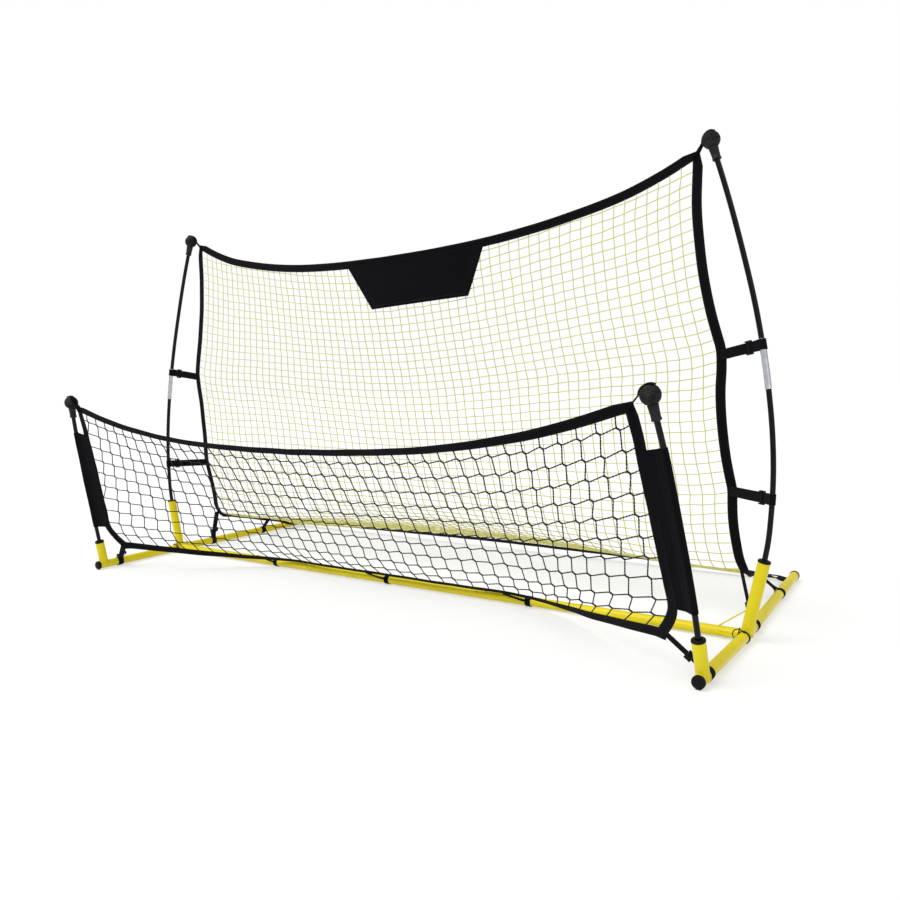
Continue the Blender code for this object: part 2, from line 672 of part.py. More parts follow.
def corner_straps(label):
    """Each loop's place along the arm, the side its tail leaves it, the tail's end, a slider or
    none. The loops are pushed along the arms by hand, so the two sides differ."""
    rear_y, front_y = {"left": (0.150, -0.262), "right": (0.080, -0.290)}[label]
    return {
        "rear_corner": (rear_y, (-0.35, 0.0, 1.0), (1.0060, 0.1420, 0.120), True),
        "rear_arm": (0.405, (-0.80, 0.0, 1.0), (0.9900, 0.3960, 0.0640), False),
        "front_corner": (front_y, (-0.80, 0.0, 1.0), (0.9700, -0.2900, 0.0760), True),
    }


def build_corner_straps(label, side):
    for name, (y, toward, end, slider) in corner_straps(label).items():
        centre = mirrored(arm_point(y), side)
        axis = mirrored(unit(arm_point(y + 0.01) - arm_point(y - 0.01)), side)
        radius = TUBE_R + (0.0003 if y < 0 else 0.0)
        shapes, cuts, way, width_way, face = arm_loop(
            centre, axis, radius, mirrored(np.array(toward), side), mirrored(np.array(end), side)
        )
        piece(f"{label}_{name}_strap", "webbing", shapes, cuts)
        if slider:
            start = centre + unit(mirrored(np.array(toward), side)) * radius
            spot = start + way * 0.034
            piece(
                f"{label}_{name}_slider", "black_plastic",
                triglide(spot, way, width_way, face), origin=spot,
            )


def build_sleeve(label, side, front):
    """The fabric panel that joins the low net's side tape to its pole, hemmed round the pole."""
    low, high = 0.154, 0.484
    pole = between_heights(front, low, high)
    net_edge = smooth_line(FRONT_SIDE[::-1], 60)
    inner, outer = POLE_R + 0.0004, POLE_R + 0.0018
    pole = mirrored(pole, side)
    hem = hollow(pole, outer, inner, 12)
    rings = []
    for point in pole:
        edge = mirrored(at_height(net_edge, point[2]), side)
        way = unit(edge - point)
        near = point + way * (POLE_R + 0.0011)
        far = edge - way * (TAPE_WIDTH + 0.0025)
        up = np.array((0.0, 0.0, 1.0))
        normal = unit(np.cross(way, up)) * 0.0007
        rings.append(np.array([near - normal, far - normal, far + normal, near + normal]))
    panel = rings_to_mesh(rings)
    bore = rod(np.vstack([
        pole[0] - unit(pole[1] - pole[0]) * 0.01, pole, pole[-1] + unit(pole[-1] - pole[-2]) * 0.01
    ]), inner, 12)
    piece(f"{label}_front_pole_sleeve", "panel_fabric", [hem, panel], [bore])


def tie_route():
    """The right-hand corner tie's cord: a loose loop, nearly two turns round the arm, an ear."""
    hub = arm_point(-0.022)
    radius = TUBE_R + TIE_R + 0.0003
    turn = np.radians(np.linspace(80.0, -540.0, 60))
    rise = np.linspace(-0.0038, 0.0032, len(turn))
    ring = [hub + np.array((math.cos(a) * radius, y, math.sin(a) * radius))
            for a, y in zip(turn, rise)]
    loop = [
        (-0.0172, -0.0150, -0.0140), (-0.0215, -0.0120, -0.0115), (-0.0245, -0.0075, -0.0045),
        (-0.0215, -0.0045, 0.0025), (-0.0130, -0.0018, 0.0055), (-0.0050, -0.0004, 0.0028),
    ]
    ear = [(0.0015, -0.0010, 0.0080), (0.0035, -0.0020, 0.0155), (0.0050, -0.0035, 0.0215)]
    return np.array([ring[0] + np.array(p) for p in loop] + ring + [ring[-1] + np.array(p) for p in ear])


def build_tie(label, side):
    """A cord tied round the corner of the base, its two short ends free."""
    curve = bpy.data.curves.new(f"{label}_corner_tie", "CURVE")
    curve.dimensions = "3D"
    curve.bevel_depth = TIE_R
    curve.bevel_resolution = 2
    curve.use_fill_caps = True
    route = mirrored(tie_route(), side)
    spline = curve.splines.new("POLY")
    spline.points.add(len(route) - 1)
    for target, (x, y, z) in zip(spline.points, route):
        target.co = (x, y + SHIFT_Y, z, 1.0)
    obj = bpy.data.objects.new(f"{label}_corner_tie", curve)
    obj.data.materials.append(material("tie_cord"))
    bpy.context.scene.collection.objects.link(obj)


def leaf_spring(centre, way):
    """A V-shaped leaf inside the crossbar: its upper leg under the button's foot, its bend
    towards the middle of the bar, its lower leg along the far wall."""
    inward = np.array((-math.copysign(1.0, centre[0]), 0.0, 0.0))
    line = [(-0.0070, 0.0019), (0.0040, 0.0019), (0.0300, -0.0035), (0.0325, -0.0046)]
    line += [(0.0330, -0.0060), (0.0318, -0.0072), (0.0290, -0.0078), (-0.0050, -0.0078)]
    path = [centre + inward * along + way * up for along, up in line]
    _, across = frames(path, way)
    faces = [a for a, _ in across]
    widths = [b for _, b in across]
    return band(path, faces, widths, 0.0070, 0.0007)


def build_middle_bar():
    left, right = -SEAMS_X["left"], SEAMS_X["right"]
    axis = [0.0, FLOOR_TO_AXIS]
    ends = (left + 0.0006, right - 0.0006)
    body = rod([(ends[0], *axis), (ends[1], *axis)], TUBE_R, 24)
    spigots = rod([(left - 0.055, *axis), (right + 0.055, *axis)], SPIGOT_R, 24)
    bore = rod([(left - 0.08, *axis), (right + 0.08, *axis)], SPIGOT_R - TUBE_WALL, 20)
    holes = []
    for x in (left - BUTTON_PAST_SEAM, right + BUTTON_PAST_SEAM):
        holes.append(rod(
            [(x, -0.003, FLOOR_TO_AXIS + 0.00525), (x, -0.012, FLOOR_TO_AXIS + 0.021)], 0.0034, 12
        ))
    piece("middle_crossbar_tube", "yellow_paint", [body, spigots], [bore] + holes)
    way = unit((0.0, -0.496, 0.868))
    for name, x in (("left", left - BUTTON_PAST_SEAM), ("right", right + BUTTON_PAST_SEAM)):
        centre = np.array((x, 0.0, FLOOR_TO_AXIS))
        profile = [(0.0, 0.0030), (0.0030, 0.0030), (0.0030, 0.0139), (0.0020, 0.0148), (0.0, 0.0150)]
        origin = centre + way * 0.0030
        piece(
            f"{name}_crossbar_snap_button", "button_metal",
            [turned(profile, centre, way, 16)], origin=origin,
        )
        piece(f"{name}_snap_button_spring", "button_metal", [leaf_spring(centre, way)])


def build_bar_loops():
    for name, x in (("left", -0.513), ("centre", -0.020), ("right", 0.477)):
        centre = np.array((x, 0.0, FLOOR_TO_AXIS))
        end = np.array((x - 0.060, -0.0279, 0.0330))
        inner = TUBE_R + SLEEVE_GAP
        half = 0.0085
        axis = np.array((1.0, 0.0, 0.0))
        ring = hollow([centre - axis * half, centre + axis * half], inner + STRAP_T, inner, 16)
        start = np.array((x, -0.0129, 0.0160))
        face = np.array((0.0, -0.74, -0.67))
        width = np.array((0.0, 0.67, -0.74))
        tail = band([start, end], [face] * 2, [width] * 2, 0.012, STRAP_T)
        bore = rod([centre - axis * 0.03, centre + axis * 0.03], inner, 16)
        piece(f"{name}_crossbar_loop", "webbing", [ring, tail], [bore])


def build_nets():
    rear = net_grid(REAR_TOP, REAR_SIDE, REAR_BOTTOM, REAR_MIDDLE, 14, 20)
    piece("tall_rear_net", "yellow_net", [sheet_from_grid(rear, NET_T)])
    piece("rear_net_border_tape", "webbing", [border_ring(rear, 0.0005, TAPE_WIDTH, TAPE_T)])
    front = net_grid(FRONT_TOP, FRONT_SIDE, FRONT_BOTTOM, None, 20, 6)
    piece("low_front_net", "black_net", [sheet_from_grid(front, NET_T)])
    piece("front_net_border_tape", "webbing", [border_ring(front, 0.0005, TAPE_WIDTH, TAPE_T)])
    return rear


def surface_y(grid, x, z):
    """How far back a net's surface lies at this x and z, carried on past its top edge."""
    line = np.array([
        [np.interp(x, row[:, 0], row[:, k]) for k in (1, 2)] for row in grid
    ])
    if z > line[-1, 1]:
        step = line[-1] - line[-2]
        return line[-1, 0] + (z - line[-1, 1]) * step[0] / step[1]
    return float(np.interp(z, line[:, 1], line[:, 0]))


def build_badge(grid):
    """The plain fabric badge panel sewn to the tall net's top tape, hanging before the net."""
    points, columns, rows = [], 9, 4
    for r in range(rows):
        v = r / (rows - 1)
        left = (1 - v) * np.array(BADGE[3]) + v * np.array(BADGE[0])
        right = (1 - v) * np.array(BADGE[2]) + v * np.array(BADGE[1])
        for c in range(columns):
            x, z = left + (right - left) * c / (columns - 1)
            points.append((x, surface_y(grid, x, z) - BADGE_AHEAD, z))
    panel = sheet_from_grid(np.array(points).reshape(rows, columns, 3), 0.0012)
    piece("badge_panel", "panel_fabric", [panel])


clear_scene()
for side_label, sign in (("left", -1.0), ("right", 1.0)):
    build_base(side_label, sign)
    build_plugs(side_label, sign)
    front_line, rear_line = build_poles(side_label, sign)
    build_finials(side_label, sign, front_line, rear_line)
    build_side_straps(side_label, sign, rear_line)
    build_corner_straps(side_label, sign)
    build_sleeve(side_label, sign, front_line)
    build_tie(side_label, sign)
build_middle_bar()
build_bar_loops()
build_badge(build_nets())
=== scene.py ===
"""Looks of the pitch back rebounder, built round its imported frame: powder-coated tubes, glossy
poles, two knotless nets bound in black webbing, straps with sliders and ribbed ball caps."""

import math

import bmesh
import bpy
import numpy as np
from mathutils import Matrix, Vector


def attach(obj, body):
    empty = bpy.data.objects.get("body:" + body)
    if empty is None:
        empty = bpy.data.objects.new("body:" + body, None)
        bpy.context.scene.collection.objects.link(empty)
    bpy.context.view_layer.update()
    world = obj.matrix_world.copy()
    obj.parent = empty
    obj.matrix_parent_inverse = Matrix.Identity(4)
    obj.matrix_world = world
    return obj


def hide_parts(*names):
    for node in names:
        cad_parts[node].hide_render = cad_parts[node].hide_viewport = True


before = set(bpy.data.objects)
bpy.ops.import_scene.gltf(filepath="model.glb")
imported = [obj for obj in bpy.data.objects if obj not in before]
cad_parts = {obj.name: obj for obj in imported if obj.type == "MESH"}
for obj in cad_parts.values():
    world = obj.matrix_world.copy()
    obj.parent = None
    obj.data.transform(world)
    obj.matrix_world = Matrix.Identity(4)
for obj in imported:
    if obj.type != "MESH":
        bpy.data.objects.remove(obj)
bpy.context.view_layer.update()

ROOT = "frame_and_nets"
SHIFT_Y = -0.0927  # the part's own frame to the row frame
FLOOR_TO_AXIS = 0.0153
TUBE_R = 0.0127
FRONT_END = (1.042, -0.338)
JUNCTION = (1.050, 0.0)
REAR_END = (1.036, 0.632)
REAR_SOCKET_R = 0.0141
FRONT_SOCKET_R = 0.0143
SOCKET_WALL = 0.0015
FRONT_SOCKET_TOP = 0.095
REAR_SOCKET_TOP = 0.190
POLE_R = 0.00625
SLEEVE_GAP = 0.0003
FERRULE_R = 0.0078
FERRULE_Z = (0.586, 0.700)
POLE_SPLIT_Z = 0.640
BALL_R = 0.021
WEBBING = 0.025
TAPE_WIDTH = 0.0240
TAPE_T = 0.0018
CORNER_REACH = 1.25
STRAP_T = 0.0014
TIE_R = 0.0011
SEAMS_X = {"left": 0.341, "right": 0.312}
BUTTON_PAST_SEAM = 0.030
RIBS, RIBS_FROM, RIB_PITCH = 10, -0.0178, 0.00355
# A ball cap's rib: share of the pitch, depth below the ball
RIB_GROOVE = (
    (0.0, 0.0020), (0.12, 0.0007), (0.30, 0.0), (0.50, 0.0), (0.70, 0.0), (0.88, 0.0007),
)
PLUG_RIM = 0.0142
PLUG_FACE = 0.0122  # an end plug's domed face, past the end of its tube
TIE_TURNS = (80.0, -540.0)  # degrees round the arm
STITCH_INSET = 0.38  # of a tape's width, from its middle
SLIDER_ALONG = 0.034  # from a strap's start at the tube or pole that it goes round
SLEEVE_HEIGHTS = (0.154, 0.484)
BAR_LOOPS_X = {"left": -0.513, "centre": -0.020, "right": 0.477}
CORNER_LOOPS_Y = {"left": (0.150, -0.262), "right": (0.080, -0.290)}  # rear, front
BUTTON_WAY = (0.0, -0.496, 0.868)
YARN_R = 0.00122
PLY_R = 0.00105
PLY_OFFSET = 0.00085
PLY_TURN = 0.016  # one twist of the two plies
TUCKED = 0.0012  # how far twine ends run in under a tape
SQUARE_COLUMNS, SQUARE_ROWS = 62, 55
HEX_COLUMNS, HEX_ROWS = 42, 10
TOP_ROW_V, HEX_HEIGHT = 0.950, 0.096  # shares of the net's height
HEX_LEAN = 0.050
HEX_LEAST_U, HEX_LEAST_V = 0.006, 0.03  # shares: no joint is nearer the left or lower edge
DROOP, DROOP_AT_REAR = 38, 16  # degrees that the tall net's tape hangs down
FLOOR_RUN_Y = 0.3  # only the tall net reaches back this far
SIDES = (("left", -1.0), ("right", 1.0))
CAMERA_AT = (1.489, -1.9317, 0.611)
CAMERA_TURN = (34.52, -4.75, -1.38)  # yaw, pitch and roll in degrees
CAMERA_LENS, CAMERA_SENSOR = 31.0, 36.0

FRONT_POLE = (
    (1.0430, -0.3225, 0.032), (1.0415, -0.3275, 0.060), (1.0393, -0.3345, 0.095),
    (1.0340, -0.3500, 0.170), (1.0270, -0.3650, 0.242), (1.0190, -0.3820, 0.317),
    (1.0100, -0.3980, 0.394), (1.0010, -0.4140, 0.466), (0.9900, -0.4280, 0.532),
    (0.9800, -0.4380, 0.585),
)
REAR_POLE = (
    (1.0556, 0.0000, 0.032), (1.0692, 0.0000, 0.100), (1.0790, 0.0001, 0.145),
    (1.0877, 0.0003, 0.190), (1.0960, 0.0016, 0.240), (1.1010, 0.0038, 0.300),
    (1.1041, 0.0066, 0.380), (1.1009, 0.0109, 0.480), (1.0911, 0.0154, 0.580),
    (1.0765, 0.0203, 0.680), (1.0575, 0.0251, 0.780), (1.0288, 0.0306, 0.900),
    (0.9938, 0.0368, 1.030), (0.9520, 0.0446, 1.166),
)
# Each pole's line, its socket's top and radius, and the height that gives its slope there
SOCKETS = {
    "front": (FRONT_POLE, FRONT_SOCKET_TOP, FRONT_SOCKET_R, FRONT_SOCKET_TOP - 0.02),
    "rear": (REAR_POLE, REAR_SOCKET_TOP, REAR_SOCKET_R, 0.12),
}
# The nets' edges where they meet their border tapes, for x > 0: (x, y, z)
REAR_TOP = (
    (0.00, 0.0000, 0.975), (0.20, 0.0060, 0.980), (0.40, 0.0200, 0.996),
    (0.60, 0.0370, 1.028), (0.75, 0.0480, 1.064), (0.85, 0.0550, 1.102),
    (0.905, 0.0580, 1.128),
)
REAR_SIDE = (
    (0.9050, 0.0580, 1.128), (0.9032, 0.0555, 1.020), (0.9102, 0.0558, 0.930),
    (0.9224, 0.0558, 0.840), (0.9391, 0.0565, 0.760), (0.9523, 0.0583, 0.710),
    (0.9600, 0.0602, 0.680), (0.9610, 0.0625, 0.650), (0.9572, 0.0679, 0.580),
    (0.9592, 0.0754, 0.500), (0.9664, 0.0849, 0.420), (0.9740, 0.0919, 0.370),
    (0.9785, 0.0970, 0.340), (0.9775, 0.1030, 0.310), (0.9767, 0.1145, 0.260),
    (0.9812, 0.1289, 0.200), (0.9880, 0.1420, 0.154), (0.9925, 0.1600, 0.131),
    (0.9915, 0.2300, 0.114), (0.9895, 0.3100, 0.094), (0.9895, 0.3900, 0.072),
    (0.9930, 0.4800, 0.049), (0.9985, 0.5600, 0.0215), (1.0000, 0.6000, 0.0190),
)
REAR_BOTTOM = (
    (0.000, 0.600, 0.0380), (0.310, 0.600, 0.0340), (0.620, 0.600, 0.0275),
    (0.880, 0.600, 0.0205), (1.000, 0.600, 0.0190),
)
# The tall net's line down its middle: (y, z)
REAR_MIDDLE = (
    (0.000, 0.975), (0.035, 0.800), (0.075, 0.620), (0.112, 0.440), (0.145, 0.300),
    (0.185, 0.205), (0.260, 0.150), (0.400, 0.098), (0.570, 0.050), (0.600, 0.038),
)
FRONT_TOP = (
    (0.00, -0.4060, 0.439), (0.20, -0.4060, 0.443), (0.40, -0.4070, 0.453),
    (0.60, -0.4110, 0.4745), (0.75, -0.4190, 0.501), (0.85, -0.4260, 0.526),
    (0.929, -0.4320, 0.549),
)
FRONT_SIDE = (
    (0.9290, -0.4320, 0.549), (0.9361, -0.4158, 0.500), (0.9422, -0.4002, 0.440),
    (0.9517, -0.3790, 0.360), (0.9609, -0.3593, 0.280), (0.9690, -0.3415, 0.210),
    (0.9735, -0.3258, 0.152), (0.9600, -0.3100, 0.122), (0.9440, -0.2960, 0.099),
)
FRONT_BOTTOM = (
    (0.00, -0.0335, 0.0430), (0.25, -0.0335, 0.0425), (0.47, -0.0350, 0.0424),
    (0.55, -0.0600, 0.0450), (0.65, -0.1180, 0.0570), (0.75, -0.1900, 0.0740),
    (0.85, -0.2480, 0.0880), (0.944, -0.2960, 0.0990),
)
REAR_NET = (REAR_TOP, REAR_SIDE, REAR_BOTTOM, REAR_MIDDLE)
FRONT_NET = (FRONT_TOP, FRONT_SIDE, FRONT_BOTTOM, None)
# The badge panel's corners (x, z): top left, top right, bottom right, bottom left
BADGE = ((-0.144, 0.984), (0.346, 0.998), (0.281, 0.863), (-0.070, 0.850))
BADGE_AHEAD = 0.0038
STRAP_HEIGHTS = {"upper": 0.687, "lower": 0.336}
STRAP_TAPE_ENDS = {"upper": (0.9822, 0.0532, 0.682), "lower": (0.9975, 0.0875, 0.340)}

rng = np.random.default_rng(7)


# ---------------------------------------------------------------- camera, light and floor

def make_camera():
    """A view from the right of the front: turned left, a little down and barely tilted."""
    yaw, pitch, roll = (math.radians(a) for a in CAMERA_TURN)
    flat = math.cos(pitch)
    ahead = Vector((-math.sin(yaw) * flat, math.cos(yaw) * flat, math.sin(pitch)))
    level = Vector((math.cos(yaw), math.sin(yaw), 0.0))
    rise = level.cross(ahead)
    right = level * math.cos(roll) + rise * math.sin(roll)
    up = rise * math.cos(roll) - level * math.sin(roll)
    camera = bpy.data.objects.new("camera", bpy.data.cameras.new("camera"))
    camera.data.lens = CAMERA_LENS
    camera.data.sensor_width = CAMERA_SENSOR
    camera.matrix_world = Matrix((right, up, -ahead)).transposed().to_4x4()
    camera.location = CAMERA_AT
    bpy.context.scene.collection.objects.link(camera)
    bpy.context.scene.camera = camera


def make_sun(name, strength, spread, toward):
    data = bpy.data.lights.new(name, "SUN")
    data.energy = strength
    data.angle = math.radians(spread)
    lamp = bpy.data.objects.new(name, data)
    lamp.rotation_mode = "QUATERNION"
    lamp.rotation_quaternion = Vector(toward).to_track_quat("-Z", "Y")
    bpy.context.scene.collection.objects.link(lamp)


def make_studio():
    """A white surround, two wide soft lights and a plain pale floor."""
    scene = bpy.context.scene
    scene.view_settings.view_transform = "Standard"
    world = bpy.data.worlds.new("studio")
    world.use_nodes = True
    scene.world = world
    nodes, links = world.node_tree.nodes, world.node_tree.links
    background = nodes["Background"]
    background.inputs["Color"].default_value = (1.0, 1.0, 1.0, 1.0)
    path = nodes.new("ShaderNodeLightPath")
    spread = nodes.new("ShaderNodeMapRange")
    light_given, seen_white = 0.52, 1.0
    spread.inputs["To Min"].default_value = light_given
    spread.inputs["To Max"].default_value = seen_white
    links.new(path.outputs["Is Camera Ray"], spread.inputs["Value"])
    links.new(spread.outputs["Result"], background.inputs["Strength"])
    make_sun("key_light", 2.3, 45, (0.45, 0.62, -1.0))
    make_sun("fill_light", 0.7, 70, (-0.8, 0.5, -0.7))
    floor_mesh = bpy.data.meshes.new("floor")
    far = 40.0
    floor_mesh.from_pydata(
        [(-far, -far, 0.0), (far, -far, 0.0), (far, far, 0.0), (-far, far, 0.0)], [],
        [(0, 1, 2, 3)]
    )
    floor = bpy.data.objects.new("floor", floor_mesh)
    floor.location.z = -0.0004  # clear of the feet, so the two faces never share a plane
    look = Look("floor_paint", {"Roughness": 0.9, "Specular IOR Level": 0.1,
                                "Emission Color": (1.0, 1.0, 1.0, 1.0), "Emission Strength": 0.50})
    grain = look.noise(look.place(), 6.0, 3.0)
    look.colour(grain, (0.44, 0.44, 0.44, 1), (0.46, 0.46, 0.455, 1))
    floor.data.materials.append(look.material)
    scene.collection.objects.link(floor)


# ---------------------------------------------------------------- materials

class Look:
    """A procedural material being put together on one Principled shader."""

    def __init__(self, name, values):
        self.material = bpy.data.materials.new(name)
        self.material.use_nodes = True
        self.tree = self.material.node_tree
        self.shader = self.tree.nodes["Principled BSDF"]
        for socket, value in values.items():
            self.shader.inputs[socket].default_value = value

    def node(self, kind, inputs, **settings):
        made = self.tree.nodes.new(kind)
        for key, value in settings.items():
            setattr(made, key, value)
        for key, value in inputs.items():
            if isinstance(value, bpy.types.NodeSocket):
                self.tree.links.new(value, made.inputs[key])
            else:
                made.inputs[key].default_value = value
        return made

    def to(self, socket, value):
        self.tree.links.new(value, self.shader.inputs[socket])

    def place(self):
        return self.node("ShaderNodeTexCoord", {}).outputs["Object"]

    def weave_place(self):
        """Distance along a piece and across or round it, from its own UV map."""
        uv = self.node("ShaderNodeUVMap", {}, uv_map="weave").outputs["UV"]
        split = self.node("ShaderNodeSeparateXYZ", {"Vector": uv})
        return split.outputs["X"], split.outputs["Y"]

    def noise(self, vector, scale, detail=2.0, rough=0.5):
        return self.node(
            "ShaderNodeTexNoise",
            {"Vector": vector, "Scale": scale, "Detail": detail, "Roughness": rough},
        ).outputs["Fac"]

    def streaks(self, along_scale, turn_scale, detail, rough=0.5):
        """Noise stretched along or round a piece."""
        along, turn = self.weave_place()
        vector = self.node("ShaderNodeCombineXYZ", {
            "X": self.math("MULTIPLY", along, along_scale),
            "Y": self.math("MULTIPLY", turn, turn_scale),
        }).outputs["Vector"]
        return self.noise(vector, 1.0, detail, rough)

    def math(self, operation, a, b=0.0):
        return self.node("ShaderNodeMath", {0: a, 1: b}, operation=operation).outputs[0]

    def spread(self, value, low, high, to_low=0.0, to_high=1.0):
        inputs = {"Value": value, "From Min": low, "From Max": high}
        inputs.update({"To Min": to_low, "To Max": to_high})
        return self.node("ShaderNodeMapRange", inputs).outputs["Result"]

    def mix(self, share, first, second):
        made = self.node("ShaderNodeMix", {}, data_type="RGBA")
        for socket, value in ((0, share), (6, first), (7, second)):
            if isinstance(value, bpy.types.NodeSocket):
                self.tree.links.new(value, made.inputs[socket])
            else:
                made.inputs[socket].default_value = value
        return made.outputs[2]

    def colour(self, share, first, second):
        self.to("Base Color", self.mix(share, first, second))

    def roughness(self, value, low, high):
        self.to("Roughness", self.spread(value, 0.3, 0.7, low, high))

    def bump(self, height, strength, distance):
        made = self.node(
            "ShaderNodeBump", {"Height": height, "Strength": strength, "Distance": distance}
        )
        self.to("Normal", made.outputs["Normal"])

    def wave(self, value, pitch):
        """A sine of a distance, one turn each pitch."""
        return self.math("SINE", self.math("MULTIPLY", value, 2 * math.pi / pitch))


def grey(value, blue=1.0):
    return (value, value, value * blue, 1.0)


def painted_steel():
    look = Look("powder_coat_yellow", {"Coat Weight": 0.10, "Coat Roughness": 0.2,
                                       "Specular IOR Level": 0.22})
    place = look.place()
    cloud = look.noise(place, 7.0, 4.0)
    tone = look.mix(
        look.spread(cloud, 0.35, 0.65), (0.71, 0.60, 0.004, 1), (0.63, 0.52, 0.003, 1)
    )
    dust = look.noise(place, 55.0, 5.0, 0.7)
    tone = look.mix(look.spread(dust, 0.60, 0.78, 0.0, 0.35), tone, (0.50, 0.42, 0.03, 1))
    # darker towards the bottom: below 12 mm from the floor the paint turns dark olive, in patches
    height = look.node("ShaderNodeSeparateXYZ", {"Vector": place}).outputs["Z"]
    low = look.math(
        "MULTIPLY", look.spread(height, 0.012, 0.0, 0.0, 0.8), look.spread(dust, 0.35, 0.6)
    )
    tone = look.mix(low, tone, (0.30, 0.25, 0.06, 1))
    chip = look.spread(look.noise(place, 260.0, 3.0, 0.6), 0.735, 0.75)
    look.colour(chip, tone, (0.16, 0.15, 0.13, 1))
    look.roughness(cloud, 0.30, 0.44)
    look.bump(look.noise(place, 700.0, 2.0), 0.18, 0.0004)
    return look.material


def weld_metal():
    """Painted weld bead: the same yellow, rougher, with soot in darker patches."""
    look = Look("painted_weld", {"Roughness": 0.5, "Specular IOR Level": 0.3})
    place = look.place()
    patch = look.noise(place, 300.0, 3.0)
    look.colour(look.spread(patch, 0.4, 0.7), (0.74, 0.62, 0.010, 1), (0.50, 0.40, 0.02, 1))
    look.bump(look.noise(place, 900.0, 2.0), 0.3, 0.0004)
    return look.material


def moulded(name, dark, roughness, grain):
    """Black moulded plastic or rubber with a fine cavity grain and a little dust."""
    look = Look(name, {"Specular IOR Level": 0.10})
    place = look.place()
    dust = look.noise(place, 70.0, 5.0, 0.65)
    look.colour(look.spread(dust, 0.45, 0.75), grey(dark, 1.1), grey(dark * 2.6, 0.96))
    look.roughness(dust, roughness - 0.07, roughness + 0.10)
    look.bump(look.noise(place, grain, 2.0), 0.35, 0.0003)
    return look.material


def pole_gloss():
    """Pultruded fibreglass in black gel coat: fine lengthwise fibre lines under gloss."""
    look = Look("black_fibreglass", {"Coat Weight": 0.14, "Coat Roughness": 0.12,
                                     "Specular IOR Level": 0.10})
    scuffs = look.streaks(30.0, 9.0, 5.0, 0.7)
    look.colour(
        look.spread(scuffs, 0.55, 0.8), (0.003, 0.003, 0.004, 1), (0.009, 0.0085, 0.012, 1)
    )
    look.roughness(scuffs, 0.16, 0.34)
    look.bump(look.streaks(4.0, 60.0, 3.0), 0.10, 0.0003)
    return look.material


def brushed_metal(name, light, dark, roughness):
    look = Look(name, {"Metallic": 1.0})
    lines = look.streaks(1500.0, 2.0, 3.0)
    look.colour(look.spread(look.noise(look.place(), 90.0, 4.0), 0.35, 0.7), light, dark)
    look.roughness(lines, roughness - 0.08, roughness + 0.10)
    look.bump(lines, 0.15, 0.0002)
    return look.material


def woven(name, dark, along_pitch, across_pitch, strength, roughness=0.85, blue=1.25):
    """Plain-woven black cloth or webbing: warp and weft humps, faint fuzz and fading."""
    look = Look(name, {"Specular IOR Level": 0.05, "Sheen Weight": 0.04, "Sheen Roughness": 0.5,
                       "Sheen Tint": (0.5, 0.5, 0.6, 1.0)})
    along, across = look.weave_place()
    humps = look.math("MULTIPLY", look.wave(along, along_pitch), look.wave(across, across_pitch))
    ribs = look.math("MULTIPLY", look.wave(across, across_pitch * 2), 0.5)
    height = look.math("ADD", humps, ribs)
    fuzz = look.noise(look.place(), 220.0, 4.0, 0.7)
    fade = look.noise(look.place(), 9.0, 3.0)
    # painted shade: the weave's hollows are coloured darker than its humps
    tone = look.mix(look.spread(humps, -0.8, 1.0), grey(dark * 0.55, blue), grey(dark, blue))
    tone = look.mix(look.spread(fuzz, 0.55, 0.85, 0.0, 0.5), tone, grey(dark * 2.4, blue * 0.9))
    look.colour(look.spread(fade, 0.45, 0.75, 0.0, 0.35), tone, grey(dark * 1.8, blue))
    look.roughness(fade, roughness - 0.08, roughness + 0.08)
    look.bump(look.math("ADD", height, look.math("MULTIPLY", fuzz, 0.6)), strength, 0.0003)
    return look.material


def twine(name, first, second, lay, roughness=0.75):
    """Twisted or braided yarn: slanting strands, painted shade in their grooves, and uneven dye.
    """
    look = Look(name, {"Specular IOR Level": 0.2})
    along, turn = look.weave_place()
    slant = look.math("ADD", look.math("DIVIDE", along, lay), look.math("MULTIPLY", turn, 3.0))
    strands = look.wave(slant, 1.0)
    dye = look.noise(look.place(), 25.0, 4.0, 0.6)
    tone = look.mix(look.spread(dye, 0.35, 0.7), first, second)
    shade = tuple(c * 0.55 for c in first[:3]) + (1.0,)
    look.colour(look.spread(strands, -0.2, -1.0, 0.0, 0.5), tone, shade)
    look.roughness(dye, roughness - 0.08, roughness + 0.1)
    look.bump(strands, 0.5, 0.0002)
    return look.material


# ---------------------------------------------------------------- shapes: (points, faces, marks)

def unit(v):
    v = np.asarray(v, float)
    return v / np.linalg.norm(v)


def square_to(v, axis):
    """The direction of the part of v that is square to a unit axis."""
    return unit(v - axis * np.dot(v, axis))


def arc(centre, radius, a, b, angles):
    """Points round a centre at these angles, turning from direction a to direction b."""
    cos, sin = np.cos(angles)[:, None], np.sin(angles)[:, None]
    return list(centre + radius * (cos * np.asarray(a) + sin * np.asarray(b)))


def most_of_a_turn(opening, count):
    """Angles round a loop that stays open by this much to either side of its start."""
    return np.linspace(opening, 2 * math.pi - opening, count)


def bulge(radius, height, wide, high, angles):
    """Points of a turned body's profile on an ellipse round (radius, height)."""
    return [(radius + wide * math.cos(a), height + high * math.sin(a)) for a in angles]


def between(points, spots, at):
    """Points found between the given ones, whose places are spots."""
    return np.stack([np.interp(at, spots, column) for column in points.T], axis=-1)


def mirrored(points, side):
    """Points given for x > 0, on the chosen side."""
    out = np.array(points, float)
    out[..., 0] *= side
    return out


def travelled(path):
    """Distance along a path at each of its points."""
    steps = np.linalg.norm(np.diff(np.asarray(path, float), axis=0), axis=1)
    return np.r_[0.0, np.cumsum(steps)]


